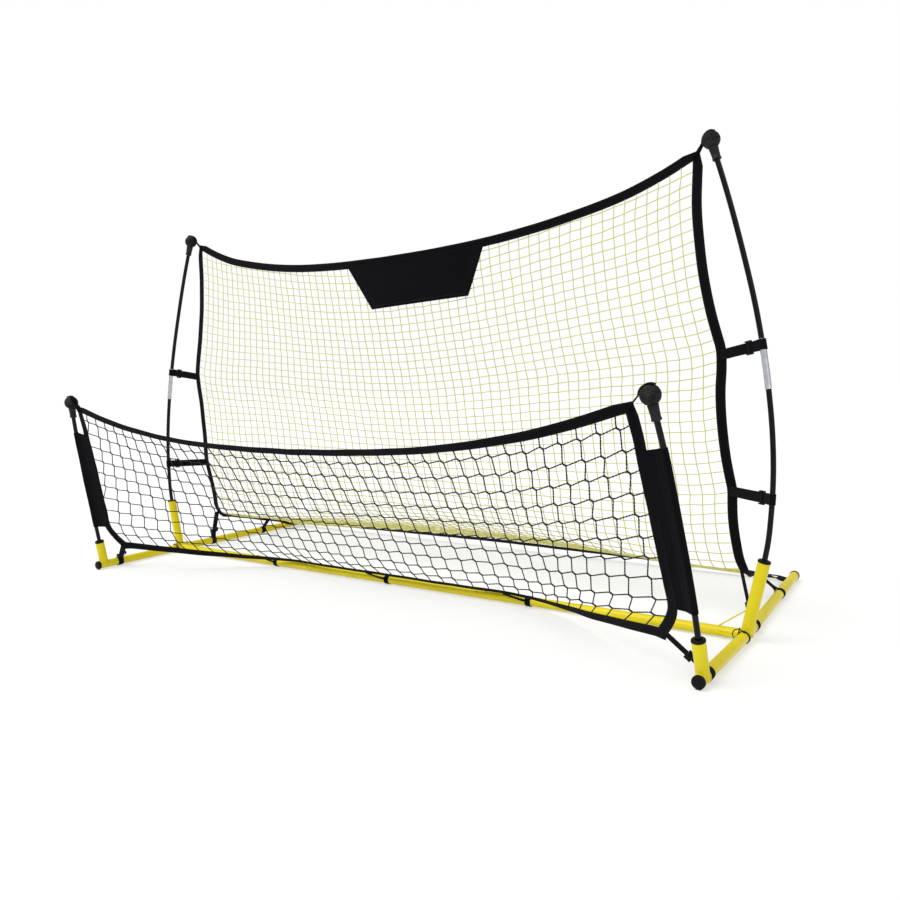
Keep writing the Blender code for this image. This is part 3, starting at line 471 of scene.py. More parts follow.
def swept(rings, along, around, closed=False, caps=True):
    """Rings of equal count joined in order. along has each ring's distance and around each
    point's place round its ring, ending with the first point's again; both become the UV map."""
    total, count = len(rings), len(rings[0])
    faces, marks = [], []
    for k in range(total if closed else total - 1):
        a, b = k * count, (k + 1) % total * count
        for i in range(count):
            j = (i + 1) % count
            faces.append((a + i, a + j, b + j, b + i))
            marks.append((
                (along[k], around[i]), (along[k], around[i + 1]),
                (along[k + 1], around[i + 1]), (along[k + 1], around[i]),
            ))
    if caps and not closed:
        last = (total - 1) * count
        faces.append(tuple(range(count))[::-1])
        faces.append(tuple(last + i for i in range(count)))
        for k in (0, -1):
            spots = tuple((along[k], around[i]) for i in range(count))
            marks.append(spots[::-1] if k == 0 else spots)
    return np.concatenate(rings), faces, marks


def merged(shapes):
    """Several shapes as one, not joined to each other."""
    points, faces, marks, start = [], [], [], 0
    for p, f, m in shapes:
        points.append(p)
        faces += [tuple(i + start for i in face) for face in f]
        marks += m
        start += len(p)
    return np.concatenate(points), faces, marks


def tangents(path):
    """The way ahead at each point of a path."""
    steps = np.diff(np.asarray(path, float), axis=0)
    steps /= np.maximum(np.linalg.norm(steps, axis=1)[:, None], 1e-9)
    return [steps[0]] + [unit(a + b) for a, b in zip(steps[:-1], steps[1:])] + [steps[-1]]


def frames(path, first=None):
    """Two cross directions at each point of a path, turned as little as possible."""
    ahead = tangents(path)
    guess = np.array((0.0, 0.0, 1.0)) if first is None else np.asarray(first, float)
    if abs(np.dot(unit(guess), ahead[0])) > 0.95:
        guess = np.array((0.0, 1.0, 0.0))
    across = []
    for tangent in ahead:
        guess = square_to(guess, tangent)
        across.append((guess, np.cross(tangent, guess)))
    return across


def circle(sides):
    angles = np.linspace(0, 2 * math.pi, sides, endpoint=False)
    return np.cos(angles)[:, None], np.sin(angles)[:, None]


def rod(path, radius, sides=16):
    """A solid round rod along a path. radius is one number or one for each point."""
    path = np.asarray(path, float)
    radii = np.broadcast_to(radius, (len(path),))
    across = frames(path)
    cos, sin = circle(sides)
    rings = [p + r * (cos * a + sin * b) for p, r, (a, b) in zip(path, radii, across)]
    return swept(rings, travelled(path), np.linspace(0, 1, sides + 1))


def hollow(path, outer, inner, sides=32):
    """A round tube along a path, open at both ends. The radii are numbers or lists."""
    path = np.asarray(path, float)
    across = frames(path)
    cos, sin = circle(sides)
    rings = []
    for radius, order in ((outer, 1), (inner, -1)):
        radii = np.broadcast_to(radius, (len(path),))
        skin = [p + r * (cos * a + sin * b) for p, r, (a, b) in zip(path, radii, across)]
        rings += skin[::order]
    there = travelled(path)
    along = np.r_[there, there[::-1], there[0]]
    return swept(rings, along, np.linspace(0, 1, sides + 1), closed=True)


def turned(profile, start, direction, sides=40):
    """A body of revolution from (radius, distance along direction), ring-shaped if no radius
    is 0."""
    direction = unit(direction)
    guess = np.array((0.0, 0.0, 1.0)) if abs(direction[2]) < 0.9 else np.array((1.0, 0.0, 0.0))
    a = square_to(guess, direction)
    b = np.cross(direction, a)
    cos, sin = circle(sides)
    start = np.asarray(start, float)
    rings = [start + direction * h + max(r, 1e-5) * (cos * a + sin * b) for r, h in profile]
    closed = min(r for r, _ in profile) > 1e-4
    along = travelled(np.array(profile + [profile[0]], float))
    return swept(rings, along, np.linspace(0, 1, sides + 1), closed=closed)


# Half of a webbing's outline: place across, and share of the thickness
WEB_OUTLINE = ((-0.5, 0.35), (-0.475, 0.9), (-0.42, 1.0), (-0.2, 0.92), (0.2, 0.92), (0.42, 1.0),
               (0.475, 0.9), (0.5, 0.35))


def webbing(path, faces_to, ways, width, thickness, closed=False):
    """A woven strap along a path with rounded selvedges: faces_to is the way that its face
    looks, and ways its width. width is one number or one for each point."""
    across = [c for c, _ in WEB_OUTLINE] + [c for c, _ in WEB_OUTLINE[::-1]]
    deep = [t for _, t in WEB_OUTLINE] + [-t for _, t in WEB_OUTLINE[::-1]]
    across, deep = np.array(across)[:, None], np.array(deep)[:, None] / 2
    path = np.asarray(path, float)
    widths = np.broadcast_to(width, (len(path),))
    rings = [
        p + across * w * unit(way) + deep * thickness * unit(face)
        for p, face, way, w in zip(path, faces_to, ways, widths)
    ]
    ends = np.r_[across[:, 0], across[0, 0]] * float(np.mean(widths))
    along = travelled(np.vstack([path, path[:1]]) if closed else path)
    return swept(rings, along, ends, closed=closed)


def sheet(grid, thickness):
    """A closed thin cloth, half its thickness to each side of a grid of points."""
    rows, columns = grid.shape[:2]
    normal = np.cross(np.gradient(grid, axis=1), np.gradient(grid, axis=0))
    normal /= np.linalg.norm(normal, axis=2)[..., None]
    front = (grid - normal * thickness / 2).reshape(-1, 3)
    back = (grid + normal * thickness / 2).reshape(-1, 3)
    u = np.zeros((rows, columns))
    v = np.zeros((rows, columns))
    u[1:] = np.cumsum(np.linalg.norm(np.diff(grid, axis=0), axis=2), axis=0)
    v[:, 1:] = np.cumsum(np.linalg.norm(np.diff(grid, axis=1), axis=2), axis=1)
    spots = list(zip(u.ravel(), v.ravel()))
    spots += spots
    total = rows * columns
    faces = []
    for r in range(rows - 1):
        for c in range(columns - 1):
            a = r * columns + c
            faces.append((a, a + 1, a + 1 + columns, a + columns))
            faces.append(tuple(total + i for i in (a + columns, a + 1 + columns, a + 1, a)))
    rim = list(range(columns))
    rim += [r * columns + columns - 1 for r in range(1, rows)]
    rim += [(rows - 1) * columns + c for c in range(columns - 2, -1, -1)]
    rim += [r * columns for r in range(rows - 2, 0, -1)]
    for i, a in enumerate(rim):
        b = rim[(i + 1) % len(rim)]
        faces.append((b, a, total + a, total + b))
    marks = [tuple(spots[i] for i in face) for face in faces]
    return np.vstack([front, back]), faces, marks


def block(centre, axes, sizes, soft=0.25):
    """A moulded bar with chamfered edges, long along the second axis."""
    u, v, w = (unit(a) for a in axes)
    half_u, half_v, half_w = (s / 2 for s in sizes)
    cut = soft * min(half_u, half_w)
    outline = (
        (-half_u, -half_w + cut), (-half_u, half_w - cut), (-half_u + cut, half_w),
        (half_u - cut, half_w), (half_u, half_w - cut), (half_u, -half_w + cut),
        (half_u - cut, -half_w), (-half_u + cut, -half_w),
    )
    rings, places = [], []
    for way, back, shrink in ((-1, 0.0, 0.75), (-1, cut, 1.0), (1, cut, 1.0), (1, 0.0, 0.75)):
        place = way * (half_v - back)
        rings.append(np.array([
            centre + v * place + shrink * (u * a + w * b) for a, b in outline
        ]))
        places.append(place)
    return swept(rings, places, np.linspace(0, 1, 9))


def stitches(path, faces_to, pitch, lift, size=0.00045):
    """A line of sewn stitches on a path, each a short thread lying proud of the cloth."""
    path = np.asarray(path, float)
    faces_to = np.asarray(faces_to, float)
    there = travelled(path)
    shapes = []
    for start in np.arange(0.002, there[-1] - pitch, pitch):
        spots = start + np.array((0.0, 0.25, 0.75, 1.0)) * pitch * 0.72
        line = between(path, there, spots)
        face = unit(between(faces_to, there, start))
        rise = np.array((-0.4, 0.55, 0.55, -0.4))[:, None] * size
        way = unit(line[-1] - line[0])
        side = np.cross(way, face)
        rings = [
            p + face * lift + r * face + size * np.array((side, 0.6 * face, -side, -0.6 * face))
            for p, r in zip(line, rise)
        ]
        shapes.append(swept(rings, spots, np.linspace(0, 1, 5)))
    return merged(shapes)


# ---------------------------------------------------------------- lines and surfaces

def smooth_line(points, count):
    """Points spread evenly along a smooth line through the given ones."""
    points = np.asarray(points, float)
    lengths = travelled(points)
    slopes = np.gradient(points, lengths, axis=0)
    spots = np.linspace(0.0, lengths[-1], count)
    index = np.clip(np.searchsorted(lengths, spots, side="right") - 1, 0, len(lengths) - 2)
    span = (lengths[index + 1] - lengths[index])[:, None]
    t = (spots - lengths[index])[:, None] / span
    p0, p1 = points[index], points[index + 1]
    m0, m1 = slopes[index] * span, slopes[index + 1] * span
    return (
        (2 * t**3 - 3 * t**2 + 1) * p0
        + (t**3 - 2 * t**2 + t) * m0
        + (-2 * t**3 + 3 * t**2) * p1
        + (t**3 - t**2) * m1
    )


def at_height(points, z):
    points = np.asarray(points, float)
    return between(points, points[:, 2], z)


def between_heights(line, low, high):
    """The part of a rising line from one height to another, its ends exact."""
    line = np.asarray(line, float)
    inside = line[(line[:, 2] > low + 0.004) & (line[:, 2] < high - 0.004)]
    return np.vstack([at_height(line, low), inside, at_height(line, high)])


def direction_at(line, z):
    return unit(at_height(line, z + 0.01) - at_height(line, z - 0.01))


def arm_point(y):
    """The point of a right-hand arm's axis at this y."""
    end = FRONT_END if y < 0 else REAR_END
    share = y / end[1]
    return np.array((JUNCTION[0] + share * (end[0] - JUNCTION[0]), y, FLOOR_TO_AXIS))


def net_grid(top, side, bottom, middle, columns, rows):
    """A net's surface as points[row][column], from its right-hand edges. Row 0 is the bottom
    edge. middle is the (y, z) line down its centre, or None."""
    top_line = smooth_line(top, columns // 2 + 1)
    bottom_line = smooth_line(bottom, columns // 2 + 1)
    right = smooth_line(side[::-1], rows + 1)
    top_line = np.vstack([mirrored(top_line[:0:-1], -1), top_line])
    bottom_line = np.vstack([mirrored(bottom_line[:0:-1], -1), bottom_line])
    left = mirrored(right, -1)
    v = np.linspace(0, 1, rows + 1)[:, None, None]
    u = np.linspace(0, 1, columns + 1)[None, :, None]
    grid = (1 - v) * bottom_line[None] + v * top_line[None]
    grid = grid + (1 - u) * left[:, None] + u * right[:, None]
    grid = grid - (1 - v) * ((1 - u) * bottom_line[0] + u * bottom_line[-1])
    grid = grid - v * ((1 - u) * top_line[0] + u * top_line[-1])
    if middle is not None:
        centre = smooth_line([(0.0, y, z) for y, z in middle][::-1], rows + 1)
        pull = centre - grid[:, columns // 2]
        pull[:, 0] = 0.0
        weight = (1 - abs(2 * u - 1) ** 2.0) ** 1.5
        grid = grid + weight * pull[:, None]
    return grid


def on_grid(grid, u, v):
    """The point of a surface at shares u across and v up, both from 0 to 1."""
    rows, columns = grid.shape[0] - 1, grid.shape[1] - 1
    r, c = min(v * rows, rows - 1e-6), min(u * columns, columns - 1e-6)
    i, j = int(r), int(c)
    s, t = r - i, c - j
    low = grid[i, j] * (1 - t) + grid[i, j + 1] * t
    high = grid[i + 1, j] * (1 - t) + grid[i + 1, j + 1] * t
    return low * (1 - s) + high * s


def surface_y(grid, x, z):
    """How far back a net's surface lies at this x and z, carried on past its top edge."""
    line = np.array([between(row[:, 1:], row[:, 0], x) for row in grid])
    if z > line[-1, 1]:
        step = line[-1] - line[-2]
        return line[-1, 0] + (z - line[-1, 1]) * step[0] / step[1]
    return float(np.interp(z, line[:, 1], line[:, 0]))


def rounded(points, reach):
    """A polyline with each inner corner rounded over this distance to either side."""
    points = np.asarray(points, float)
    out = [points[0]]
    for before, corner, after in zip(points[:-2], points[1:-1], points[2:]):
        near = corner + unit(before - corner) * min(reach, np.linalg.norm(before - corner) * 0.45)
        far = corner + unit(after - corner) * min(reach, np.linalg.norm(after - corner) * 0.45)
        out += [near, near * 0.25 + corner * 0.5 + far * 0.25, far]
    return np.array(out + [points[-1]])


# ---------------------------------------------------------------- pieces

LOOKS = {
    "yellow_paint": painted_steel(),
    "weld": weld_metal(),
    "black_plastic": moulded("moulded_nylon", 0.004, 0.42, 900.0),
    "black_rubber": moulded("moulded_rubber", 0.014, 0.50, 600.0),
    "fibreglass": pole_gloss(),
    "ferrule_metal": brushed_metal(
        "brushed_ferrule", (0.62, 0.64, 0.68, 1), (0.45, 0.47, 0.51, 1), 0.34),
    "button_metal": brushed_metal(
        "nickel_plate", (0.50, 0.49, 0.47, 1), (0.33, 0.32, 0.31, 1), 0.30),
    "webbing": woven("nylon_webbing", 0.0042, 0.0019, 0.0016, 0.7),
    "panel_fabric": woven("oxford_cloth", 0.0034, 0.0011, 0.0011, 0.5),
    "thread": twine("sewing_thread", (0.020, 0.020, 0.024, 1), (0.012, 0.012, 0.015, 1), 0.0012),
    "yellow_net": twine("yellow_twine", (0.65, 0.63, 0.22, 1), (0.57, 0.56, 0.16, 1), 0.0030),
    "black_net": twine("black_twine", (0.010, 0.010, 0.011, 1), (0.018, 0.018, 0.019, 1), 0.0050),
    "tie_cord": twine("black_cord", (0.009, 0.009, 0.010, 1), (0.016, 0.016, 0.017, 1), 0.0040),
}


def add(name, shape, look, stands_for=(), body=ROOT, sharp=38.0):
    """A finished piece from a shape in the part's own frame."""
    points, faces, marks = shape
    points = np.asarray(points, float) + np.array((0.0, SHIFT_Y, 0.0))
    mesh = bpy.data.meshes.new(name)
    mesh.from_pydata(points.tolist(), [], faces)
    uv = mesh.uv_layers.new(name="weave")
    uv.data.foreach_set("uv", np.array([c for spots in marks for c in spots], float).ravel())
    bm = bmesh.new()
    bm.from_mesh(mesh)
    bmesh.ops.recalc_face_normals(bm, faces=bm.faces)
    for face in bm.faces:
        face.smooth = True
    for edge in bm.edges:
        if len(edge.link_faces) == 2 and edge.calc_face_angle() > math.radians(sharp):
            edge.smooth = False
    bm.to_mesh(mesh)
    bm.free()
    mesh.materials.append(LOOKS[look])
    obj = bpy.data.objects.new(name, mesh)
    bpy.context.scene.collection.objects.link(obj)
    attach(obj, body)
    if stands_for:
        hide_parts(*stands_for)
    return obj


def keep_node(name, look):
    """A CAD node that stays, with its own material and its round faces shaded round."""
    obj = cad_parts[name]
    mesh = obj.data
    mesh.materials.clear()
    mesh.materials.append(LOOKS[look])
    if "custom_normal" in mesh.attributes:
        mesh.attributes.remove(mesh.attributes["custom_normal"])
    mesh.polygons.foreach_set("use_smooth", [True] * len(mesh.polygons))
    weld = obj.modifiers.new("weld", "WELD")
    weld.merge_threshold = 1e-5
    split = obj.modifiers.new("split", "EDGE_SPLIT")
    split.split_angle = math.radians(32)


def tie_route():
    """The right-hand corner tie's cord: a loose loop, nearly two turns round the arm, an ear."""
    hub = arm_point(-0.022)
    radius = TUBE_R + TIE_R + 0.0003
    turn = np.radians(np.linspace(*TIE_TURNS, 60))
    rise = np.linspace(-0.0038, 0.0032, len(turn))
    ring = [p + np.array((0.0, y, 0.0))
            for p, y in zip(arc(hub, radius, (1.0, 0.0, 0.0), (0.0, 0.0, 1.0), turn), rise)]
    loop = [
        (-0.0172, -0.0150, -0.0140), (-0.0215, -0.0120, -0.0115), (-0.0245, -0.0075, -0.0045),
        (-0.0215, -0.0045, 0.0025), (-0.0130, -0.0018, 0.0055), (-0.0050, -0.0004, 0.0028),
    ]
    ear = [(0.0015, -0.0010, 0.0080), (0.0035, -0.0020, 0.0155), (0.0050, -0.0035, 0.0215)]
    return np.vstack([ring[0] + np.array(loop), ring, ring[-1] + np.array(ear)])


def make_tie(label, side):
    """The cord tied round the corner of the base, on the part's own route, and its knot."""
    given = mirrored(tie_route(), side)
    path = smooth_line(given, 150)
    meets = 6  # the point of the route where the loop comes back to the arm
    around = unit(given[meets + 2] - given[meets - 2])
    a = unit(np.cross(around, (0.0, 1.0, 0.0)))
    turn = np.linspace(0, 2.2 * 2 * math.pi, 44)
    length, radius = 0.0044, 0.0024
    wrap = np.array(arc(given[meets], radius, a, np.cross(around, a), turn))
    wrap += around * np.linspace(-length / 2, length / 2, len(turn))[:, None]
    knot = add(f"{label}_corner_tie_knot", rod(wrap, TIE_R, 8), "tie_cord")
    name = f"{label}_corner_tie_cord"
    obj = add(name, rod(path, TIE_R, 10), "tie_cord", [f"{label}_corner_tie"])


def make_poles(label, side):
    """One side's pole lengths, the rear pole's joint sleeve with its rivets, and the guides in
    the sockets. Returns the front and the rear pole's line."""
    lines = {}
    for place, given, socket_top in (
        ("front", FRONT_POLE, FRONT_POLE[2]), ("rear", REAR_POLE, REAR_POLE[3])
    ):
        line = smooth_line(given, 160 if place == "rear" else 90)
        middle = (line[:, 2] > socket_top[2] + 0.012) & (line[:, 2] < line[-1][2] - 0.054)
        lines[place] = np.vstack([given[0], socket_top, line[middle], line[-1]])
    front, rear = lines["front"], lines["rear"]
    parts = {
        "front_pole": front,
        "lower_rear_pole": between_heights(rear, rear[0][2], POLE_SPLIT_Z),
        "upper_rear_pole": between_heights(rear, POLE_SPLIT_Z + 0.001, rear[-1][2]),
    }
    for name, line in parts.items():
        add(f"{label}_{name}_shaft", rod(mirrored(line, side), POLE_R, 28), "fibreglass",
            [f"{label}_{name}"])
    low, high = FERRULE_Z
    rolled = ((0.0, 0.86), (0.0010, 0.97), (0.0022, 1.0), (0.0035, 1.0), (0.0050, 0.975),
              (0.0062, 0.95))  # the sleeve's rolled ends: distance in, share of its radius
    heights = [low + d for d, _ in rolled] + list(np.linspace(low + 0.012, high - 0.012, 9))
    heights += [high - d for d, _ in rolled[::-1]]
    swell = [s for _, s in rolled]
    radii = FERRULE_R * np.array(swell + [swell[-1]] * 9 + swell[::-1])
    sleeve = mirrored([at_height(rear, z) for z in heights], side)
    add(f"{label}_rear_ferrule_sleeve", hollow(sleeve, radii, POLE_R + SLEEVE_GAP, 36),
        "ferrule_metal", [f"{label}_rear_pole_ferrule"])
    rivets = []
    rim, head = FERRULE_R * 0.95, 0.0026
    dome = [(0.0, rim - 0.002), (head, rim - 0.002), (head, rim + 0.0002)]
    dome += bulge(0.0, rim + 0.0002, head, 0.0011, (0.4, 0.8, 1.2)) + [(0.0, rim + 0.0013)]
    for z in (low + 0.024, high - 0.024):
        centre = mirrored(at_height(rear, z), side)
        rivets += [turned(dome, centre, (0.0, way, 0.0), 20) for way in (-1.0, 1.0)]
    add(f"{label}_ferrule_rivets", merged(rivets), "button_metal")
    for place, (line, top, radius, slope_at) in SOCKETS.items():
        way = mirrored(direction_at(line, slope_at), side)
        mouth = mirrored(at_height(line, top), side)
        bore, skirt = POLE_R + 0.00045, radius - SOCKET_WALL - 0.0006
        profile = [(bore, -0.009), (skirt, -0.009), (skirt, 0.0003), (radius + 0.0003, 0.0003),
                   (radius + 0.0006, 0.0008), (radius + 0.0006, 0.0034)]
        profile += bulge(radius - 0.0025, 0.0034, 0.0031, 0.0028, (0.5, 1.0, 1.4))
        profile += [(bore + 0.0006, 0.0062), (bore, 0.0056)]
        add(f"{label}_{place}_pole_guide", turned(profile, mouth, way, 48), "black_plastic",
            [f"{label}_{place}_socket_collar"])
    return front, rear


def make_ball_caps(label, side, poles):
    """Ribbed rubber ball caps with a flared neck."""
    for place, line in zip(("front", "rear"), poles):
        tip = mirrored(line[-1], side)
        way = unit(tip - mirrored(line[-2], side))
        profile = [(0.0, -0.050), (0.0098, -0.050), (0.0104, -0.0492), (0.0104, -0.0462),
                   (0.0095, -0.0450), (0.0098, -0.0380), (0.0104, -0.0280), (0.0112, -0.0190)]
        for k in range(RIBS):
            for share, depth in RIB_GROOVE:
                z = RIBS_FROM + (k + share) * RIB_PITCH
                profile.append((math.sqrt(BALL_R**2 - z**2) - depth, z))
        profile += [(0.0098, 0.0182), (0.0070, 0.0198), (0.0035, 0.0206), (0.0, 0.0209)]
        add(f"{label}_{place}_ribbed_cap", turned(profile, tip, way, 56), "black_rubber",
            [f"{label}_{place}_ball_cap"], sharp=50.0)


def make_plugs(label, side):
    """End plugs of the side arms: a rim, a domed face and a flat foot that stands on the floor."""
    for place, end, back in (("front", FRONT_END, -0.05), ("rear", REAR_END, 0.04)):
        tip = mirrored(arm_point(end[1]), side)
        way = unit(tip - mirrored(arm_point(back), side))
        rim, skirt, bevel = PLUG_RIM, 0.0110, 0.0012
        profile = [(0.0, -0.012), (skirt, -0.012), (skirt, 0.0004), (rim - 0.0006, 0.0004),
                   (rim, 0.0012), (rim, 0.0070)]
        profile += bulge(rim - bevel, 0.0070, bevel, bevel, (0.5, 1.0, 1.5))
        profile += bulge(0.0, 0.0080, rim, PLUG_FACE - 0.0080, (0.5, 0.8, 1.1, 1.35))
        foot_size = (0.0062, 0.0110, 0.0060)
        pad = tip + way * 0.0039
        pad[2] = foot_size[2] / 2
        foot = block(pad, (way, (way[1], -way[0], 0.0), (0.0, 0.0, 1.0)), foot_size, 0.3)
        shape = merged([turned(profile + [(0.0, PLUG_FACE)], tip, way, 44), foot])
        add(f"{label}_{place}_end_plug", shape, "black_plastic", [f"{label}_{place}_arm_plug"])


def triglide(centre, way_u, way_w, way_n):
    """A three-bar slider that a doubled strap runs through: rails, two bars under, one over."""
    clear_w, clear_n = WEBBING / 2 + 0.0006, 0.0019
    rail_w, bar_t = 0.0032, 0.0018
    shapes = []
    for side in (-1, 1):
        rail = centre + way_w * side * (clear_w + rail_w / 2)
        shapes.append(block(rail, (way_w, way_u, way_n), (rail_w, 0.0160, 0.0076), 0.4))
    for along, above, wide in ((-0.0060, -1, 0.0036), (0.0060, -1, 0.0036), (0.0, 1, 0.0040)):
        bar = centre + way_u * along + way_n * above * (clear_n + bar_t / 2)
        size = (wide, 2 * clear_w + 0.0030, bar_t)
        shapes.append(block(bar, (way_u, way_w, way_n), size, 0.5))
    return merged(shapes)


def make_side_straps(label, side, rear):
    """Straps from the tall net's side tape round the rear pole and back through a slider."""
    for level, height in STRAP_HEIGHTS.items():
        radius = POLE_R if level == "lower" else FERRULE_R
        point = mirrored(at_height(rear, height), side)
        way_w = mirrored(direction_at(rear, height), side)
        reach = mirrored(STRAP_TAPE_ENDS[level], side) - point
        reach = reach - way_w * np.dot(reach, way_w)
        length = float(np.linalg.norm(reach))
        way_u = unit(reach)
        way_n = np.cross(way_w, way_u)
        half = 0.0002 + STRAP_T / 2
        wrap = radius + SLEEVE_GAP + STRAP_T / 2
        lap, meet, turn_back = 0.014, 0.022, 0.058
        out = [(a, half) for a in np.linspace(length + lap, meet, 12)]
        out += arc(0.0, wrap, (1.0, 0.0), (0.0, 1.0), most_of_a_turn(math.radians(62), 25))
        out += [(a, -half) for a in np.linspace(meet, turn_back, 7)]
        line = rounded(out, 0.004)
        path = [point + way_u * a + way_n * b for a, b in line]
        faces_to = [way_n * w[0] - way_u * w[1] for w in tangents(line)]
        strap = webbing(path, faces_to, [way_w] * len(path), WEBBING, STRAP_T)
        add(f"{label}_{level}_strap_webbing", strap, "webbing", [f"{label}_{level}_side_strap"])
        seams = []
        for across in (-STITCH_INSET, STITCH_INSET):
            for face in (1, -1):
                run = [point + way_u * a + way_n * half + way_w * across * WEBBING
                       for a in np.linspace(length - 0.004, length + lap - 0.002, 5)]
                seams.append(stitches(run, [way_n * face] * 5, 0.0042, STRAP_T / 2))
        add(f"{label}_{level}_strap_stitching", merged(seams), "thread")
        slider = triglide(point + way_u * SLIDER_ALONG, way_u, way_w, way_n)
        name = f"{label}_{level}_strap_slider"
        add(f"{name}_moulding", slider, "black_plastic", [name], body=name)


def make_corner_straps(label, side):
    """Webbing loops round the side arms with tails to the nets' corners, two with sliders."""
    rear_y, front_y = CORNER_LOOPS_Y[label]
    # where a loop sits along its arm, the way its tail leaves, the tail's end, whether it slides
    corners = {
        "rear_corner": (rear_y, (-0.35, 0.0, 1.0), (1.0060, 0.1420, 0.120), True),
        "rear_arm": (0.405, (-0.80, 0.0, 1.0), (0.9900, 0.3960, 0.0640), False),
        "front_corner": (front_y, (-0.80, 0.0, 1.0), (0.9700, -0.2900, 0.0760), True),
    }
    for name, (y, toward, end, slider) in corners.items():
        centre = mirrored(arm_point(y), side)
        axis = mirrored(unit(arm_point(y + 0.01) - arm_point(y - 0.01)), side)
        radius = TUBE_R + (0.0003 if y < 0 else 0.0)
        out = unit(mirrored(toward, side))
        tail_to = mirrored(end, side)
        wrap = radius + SLEEVE_GAP + STRAP_T * 0.5
        start = centre + out * wrap
        way = unit(tail_to - start)
        width_way = square_to(axis, way)
        face = np.cross(way, width_way)
        aside = unit(np.cross(axis, out))
        turn = most_of_a_turn(0.30, 34)
        ring = arc(centre, wrap, out, aside, turn)
        sign = 1.0 if np.dot(face, aside) > 0 else -1.0
        past_end = 0.017 if slider else 0.006
        reach = np.linspace(0.012, np.linalg.norm(tail_to - start) + past_end, 8)
        first, second = ([start + way * d + face * STRAP_T * 0.55 * share for d in reach]
                         for share in (sign, -sign))
        path = first[::-1] + ring + second
        faces_to = [face * sign] * 8 + arc(0.0, 1.0, out, aside, turn) + [-face * sign] * 8
        ways = [width_way] * 8 + [axis] * len(ring) + [width_way] * 8
        strap = webbing(path, faces_to, ways, WEBBING * 0.8, STRAP_T * 0.95)
        add(f"{label}_{name}_webbing", strap, "webbing", [f"{label}_{name}_strap"])
        if slider:
            spot = centre + out * radius + way * SLIDER_ALONG
            node = f"{label}_{name}_slider"
            add(f"{node}_moulding", triglide(spot, way, width_way, face), "black_plastic", [node],
                body=node)


def make_sleeve(label, side, front):
    """The cloth panel from the low net's side tape to its pole, with the pole's pocket in it."""
    pole = mirrored(smooth_line(between_heights(front, *SLEEVE_HEIGHTS), 40), side)
    net_edge = smooth_line(FRONT_SIDE[::-1], 80)
    wrap = POLE_R + 0.0011
    grid, seam, seam_faces = [], [], []
    for k, point in enumerate(pole):
        edge = mirrored(at_height(net_edge, point[2]), side)
        way = unit(edge - point)
        up = unit(pole[min(k + 1, len(pole) - 1)] - pole[max(k - 1, 0)])
        way = square_to(way, up)
        normal = unit(np.cross(up, way)) * side
        reach = float(np.dot(edge - point, way)) - 0.0030
        ripple = 0.0004 * math.sin(k * 0.55) + 0.0003 * math.sin(k * 0.23 + 1.0)
        hem, lift = 0.020, 0.0007
        row = []
        for a in np.linspace(reach, hem, 12):
            share = (reach - a) / (reach - hem)
            row.append(point + way * a + normal * (lift + ripple * math.sin(math.pi * share)))
        row += arc(point, wrap, way, normal, most_of_a_turn(math.radians(58), 17))
        row += [point + way * a - normal * 0.0008 for a in (0.0165, hem, 0.024)]
        grid.append(row)
        seam.append(point + way * 0.0185 + normal * lift)
        seam_faces.append(normal)
    name = f"{label}_front_sleeve"
    panel = add(f"{name}_cloth", sheet(np.array(grid), 0.0011), "panel_fabric",
                [f"{label}_front_pole_sleeve"])
    runs = [stitches(seam, np.array(seam_faces) * way, 0.0055, lift)
            for way, lift in ((1.0, 0.0008), (-1.0, 0.0020))]
    add(f"{name}_stitching", merged(runs), "thread")


def make_button(label, side):
    """The sprung button that holds two crossbar tubes together, and its leaf spring."""
    x = side * (SEAMS_X[label] + BUTTON_PAST_SEAM)
    centre = np.array((x, 0.0, FLOOR_TO_AXIS))
    way = unit(BUTTON_WAY)
    profile = [(0.0, 0.0030), (0.0030, 0.0030), (0.0030, 0.0130)]
    profile += bulge(0.0012, 0.0130, 0.0018, 0.0019, (0.3, 0.6, 0.9, 1.2))
    button = turned(profile + [(0.0, 0.0150)], centre, way, 28)
    node = f"{label}_crossbar_snap_button"
    add(f"{label}_snap_button_dome", button, "button_metal", [node], body=f"{label}_snap_button")
    inward = np.array((-side, 0.0, 0.0))
    line = [(-0.0070, 0.0019), (0.0040, 0.0019), (0.0300, -0.0035), (0.0325, -0.0046)]
    line += [(0.0330, -0.0060), (0.0318, -0.0072), (0.0290, -0.0078), (-0.0050, -0.0078)]
    path = rounded([centre + inward * a + way * b for a, b in line], 0.001)
    across = frames(path, way)
    spring = webbing(path, [a for a, _ in across], [b for _, b in across], 0.0070, 0.0007)
    add(f"{label}_button_leaf", spring, "button_metal", [f"{label}_snap_button_spring"])


def make_welds(label, side):
    """Weld beads where the upright socket, the crossbar and the arms meet."""
    beads = []
    for place, distance in (("rear", rear_hub_distance), ("front", front_arm_distance)):
        line, top, radius, slope_at = SOCKETS[place]
        slope = direction_at(line, slope_at)
        foot = at_height(line, top) - slope * (top - FLOOR_TO_AXIS) / slope[2]
        beads.append(bead_round(foot, slope, radius, distance))
    hub = arm_point(0.0)
    ring = [hub + np.array((-TUBE_R - 0.0002, TUBE_R * math.cos(t), TUBE_R * math.sin(t)))
            + np.array((-0.0015 * abs(math.sin(t)), 0.0, 0.0))
            for t in np.linspace(-math.pi * 0.95, math.pi * 0.95, 60)]
    beads.append(ring)
    shapes = []
    for line in beads:
        line = mirrored(np.array(line), side)
        there = travelled(line)
        radii = 0.0017 + 0.00035 * np.sin(there * 2 * math.pi / 0.0042)
        shapes.append(rod(line, radii, 10))
    add(f"{label}_weld_beads", merged(shapes), "weld")


def rear_hub_distance(p):
    """Distance of a point from the nearest of the tubes that meet under the rear socket."""
    bar = math.hypot(p[1], p[2] - FLOOR_TO_AXIS) if p[0] < JUNCTION[0] else 1.0
    return min(bar, front_arm_distance(p))


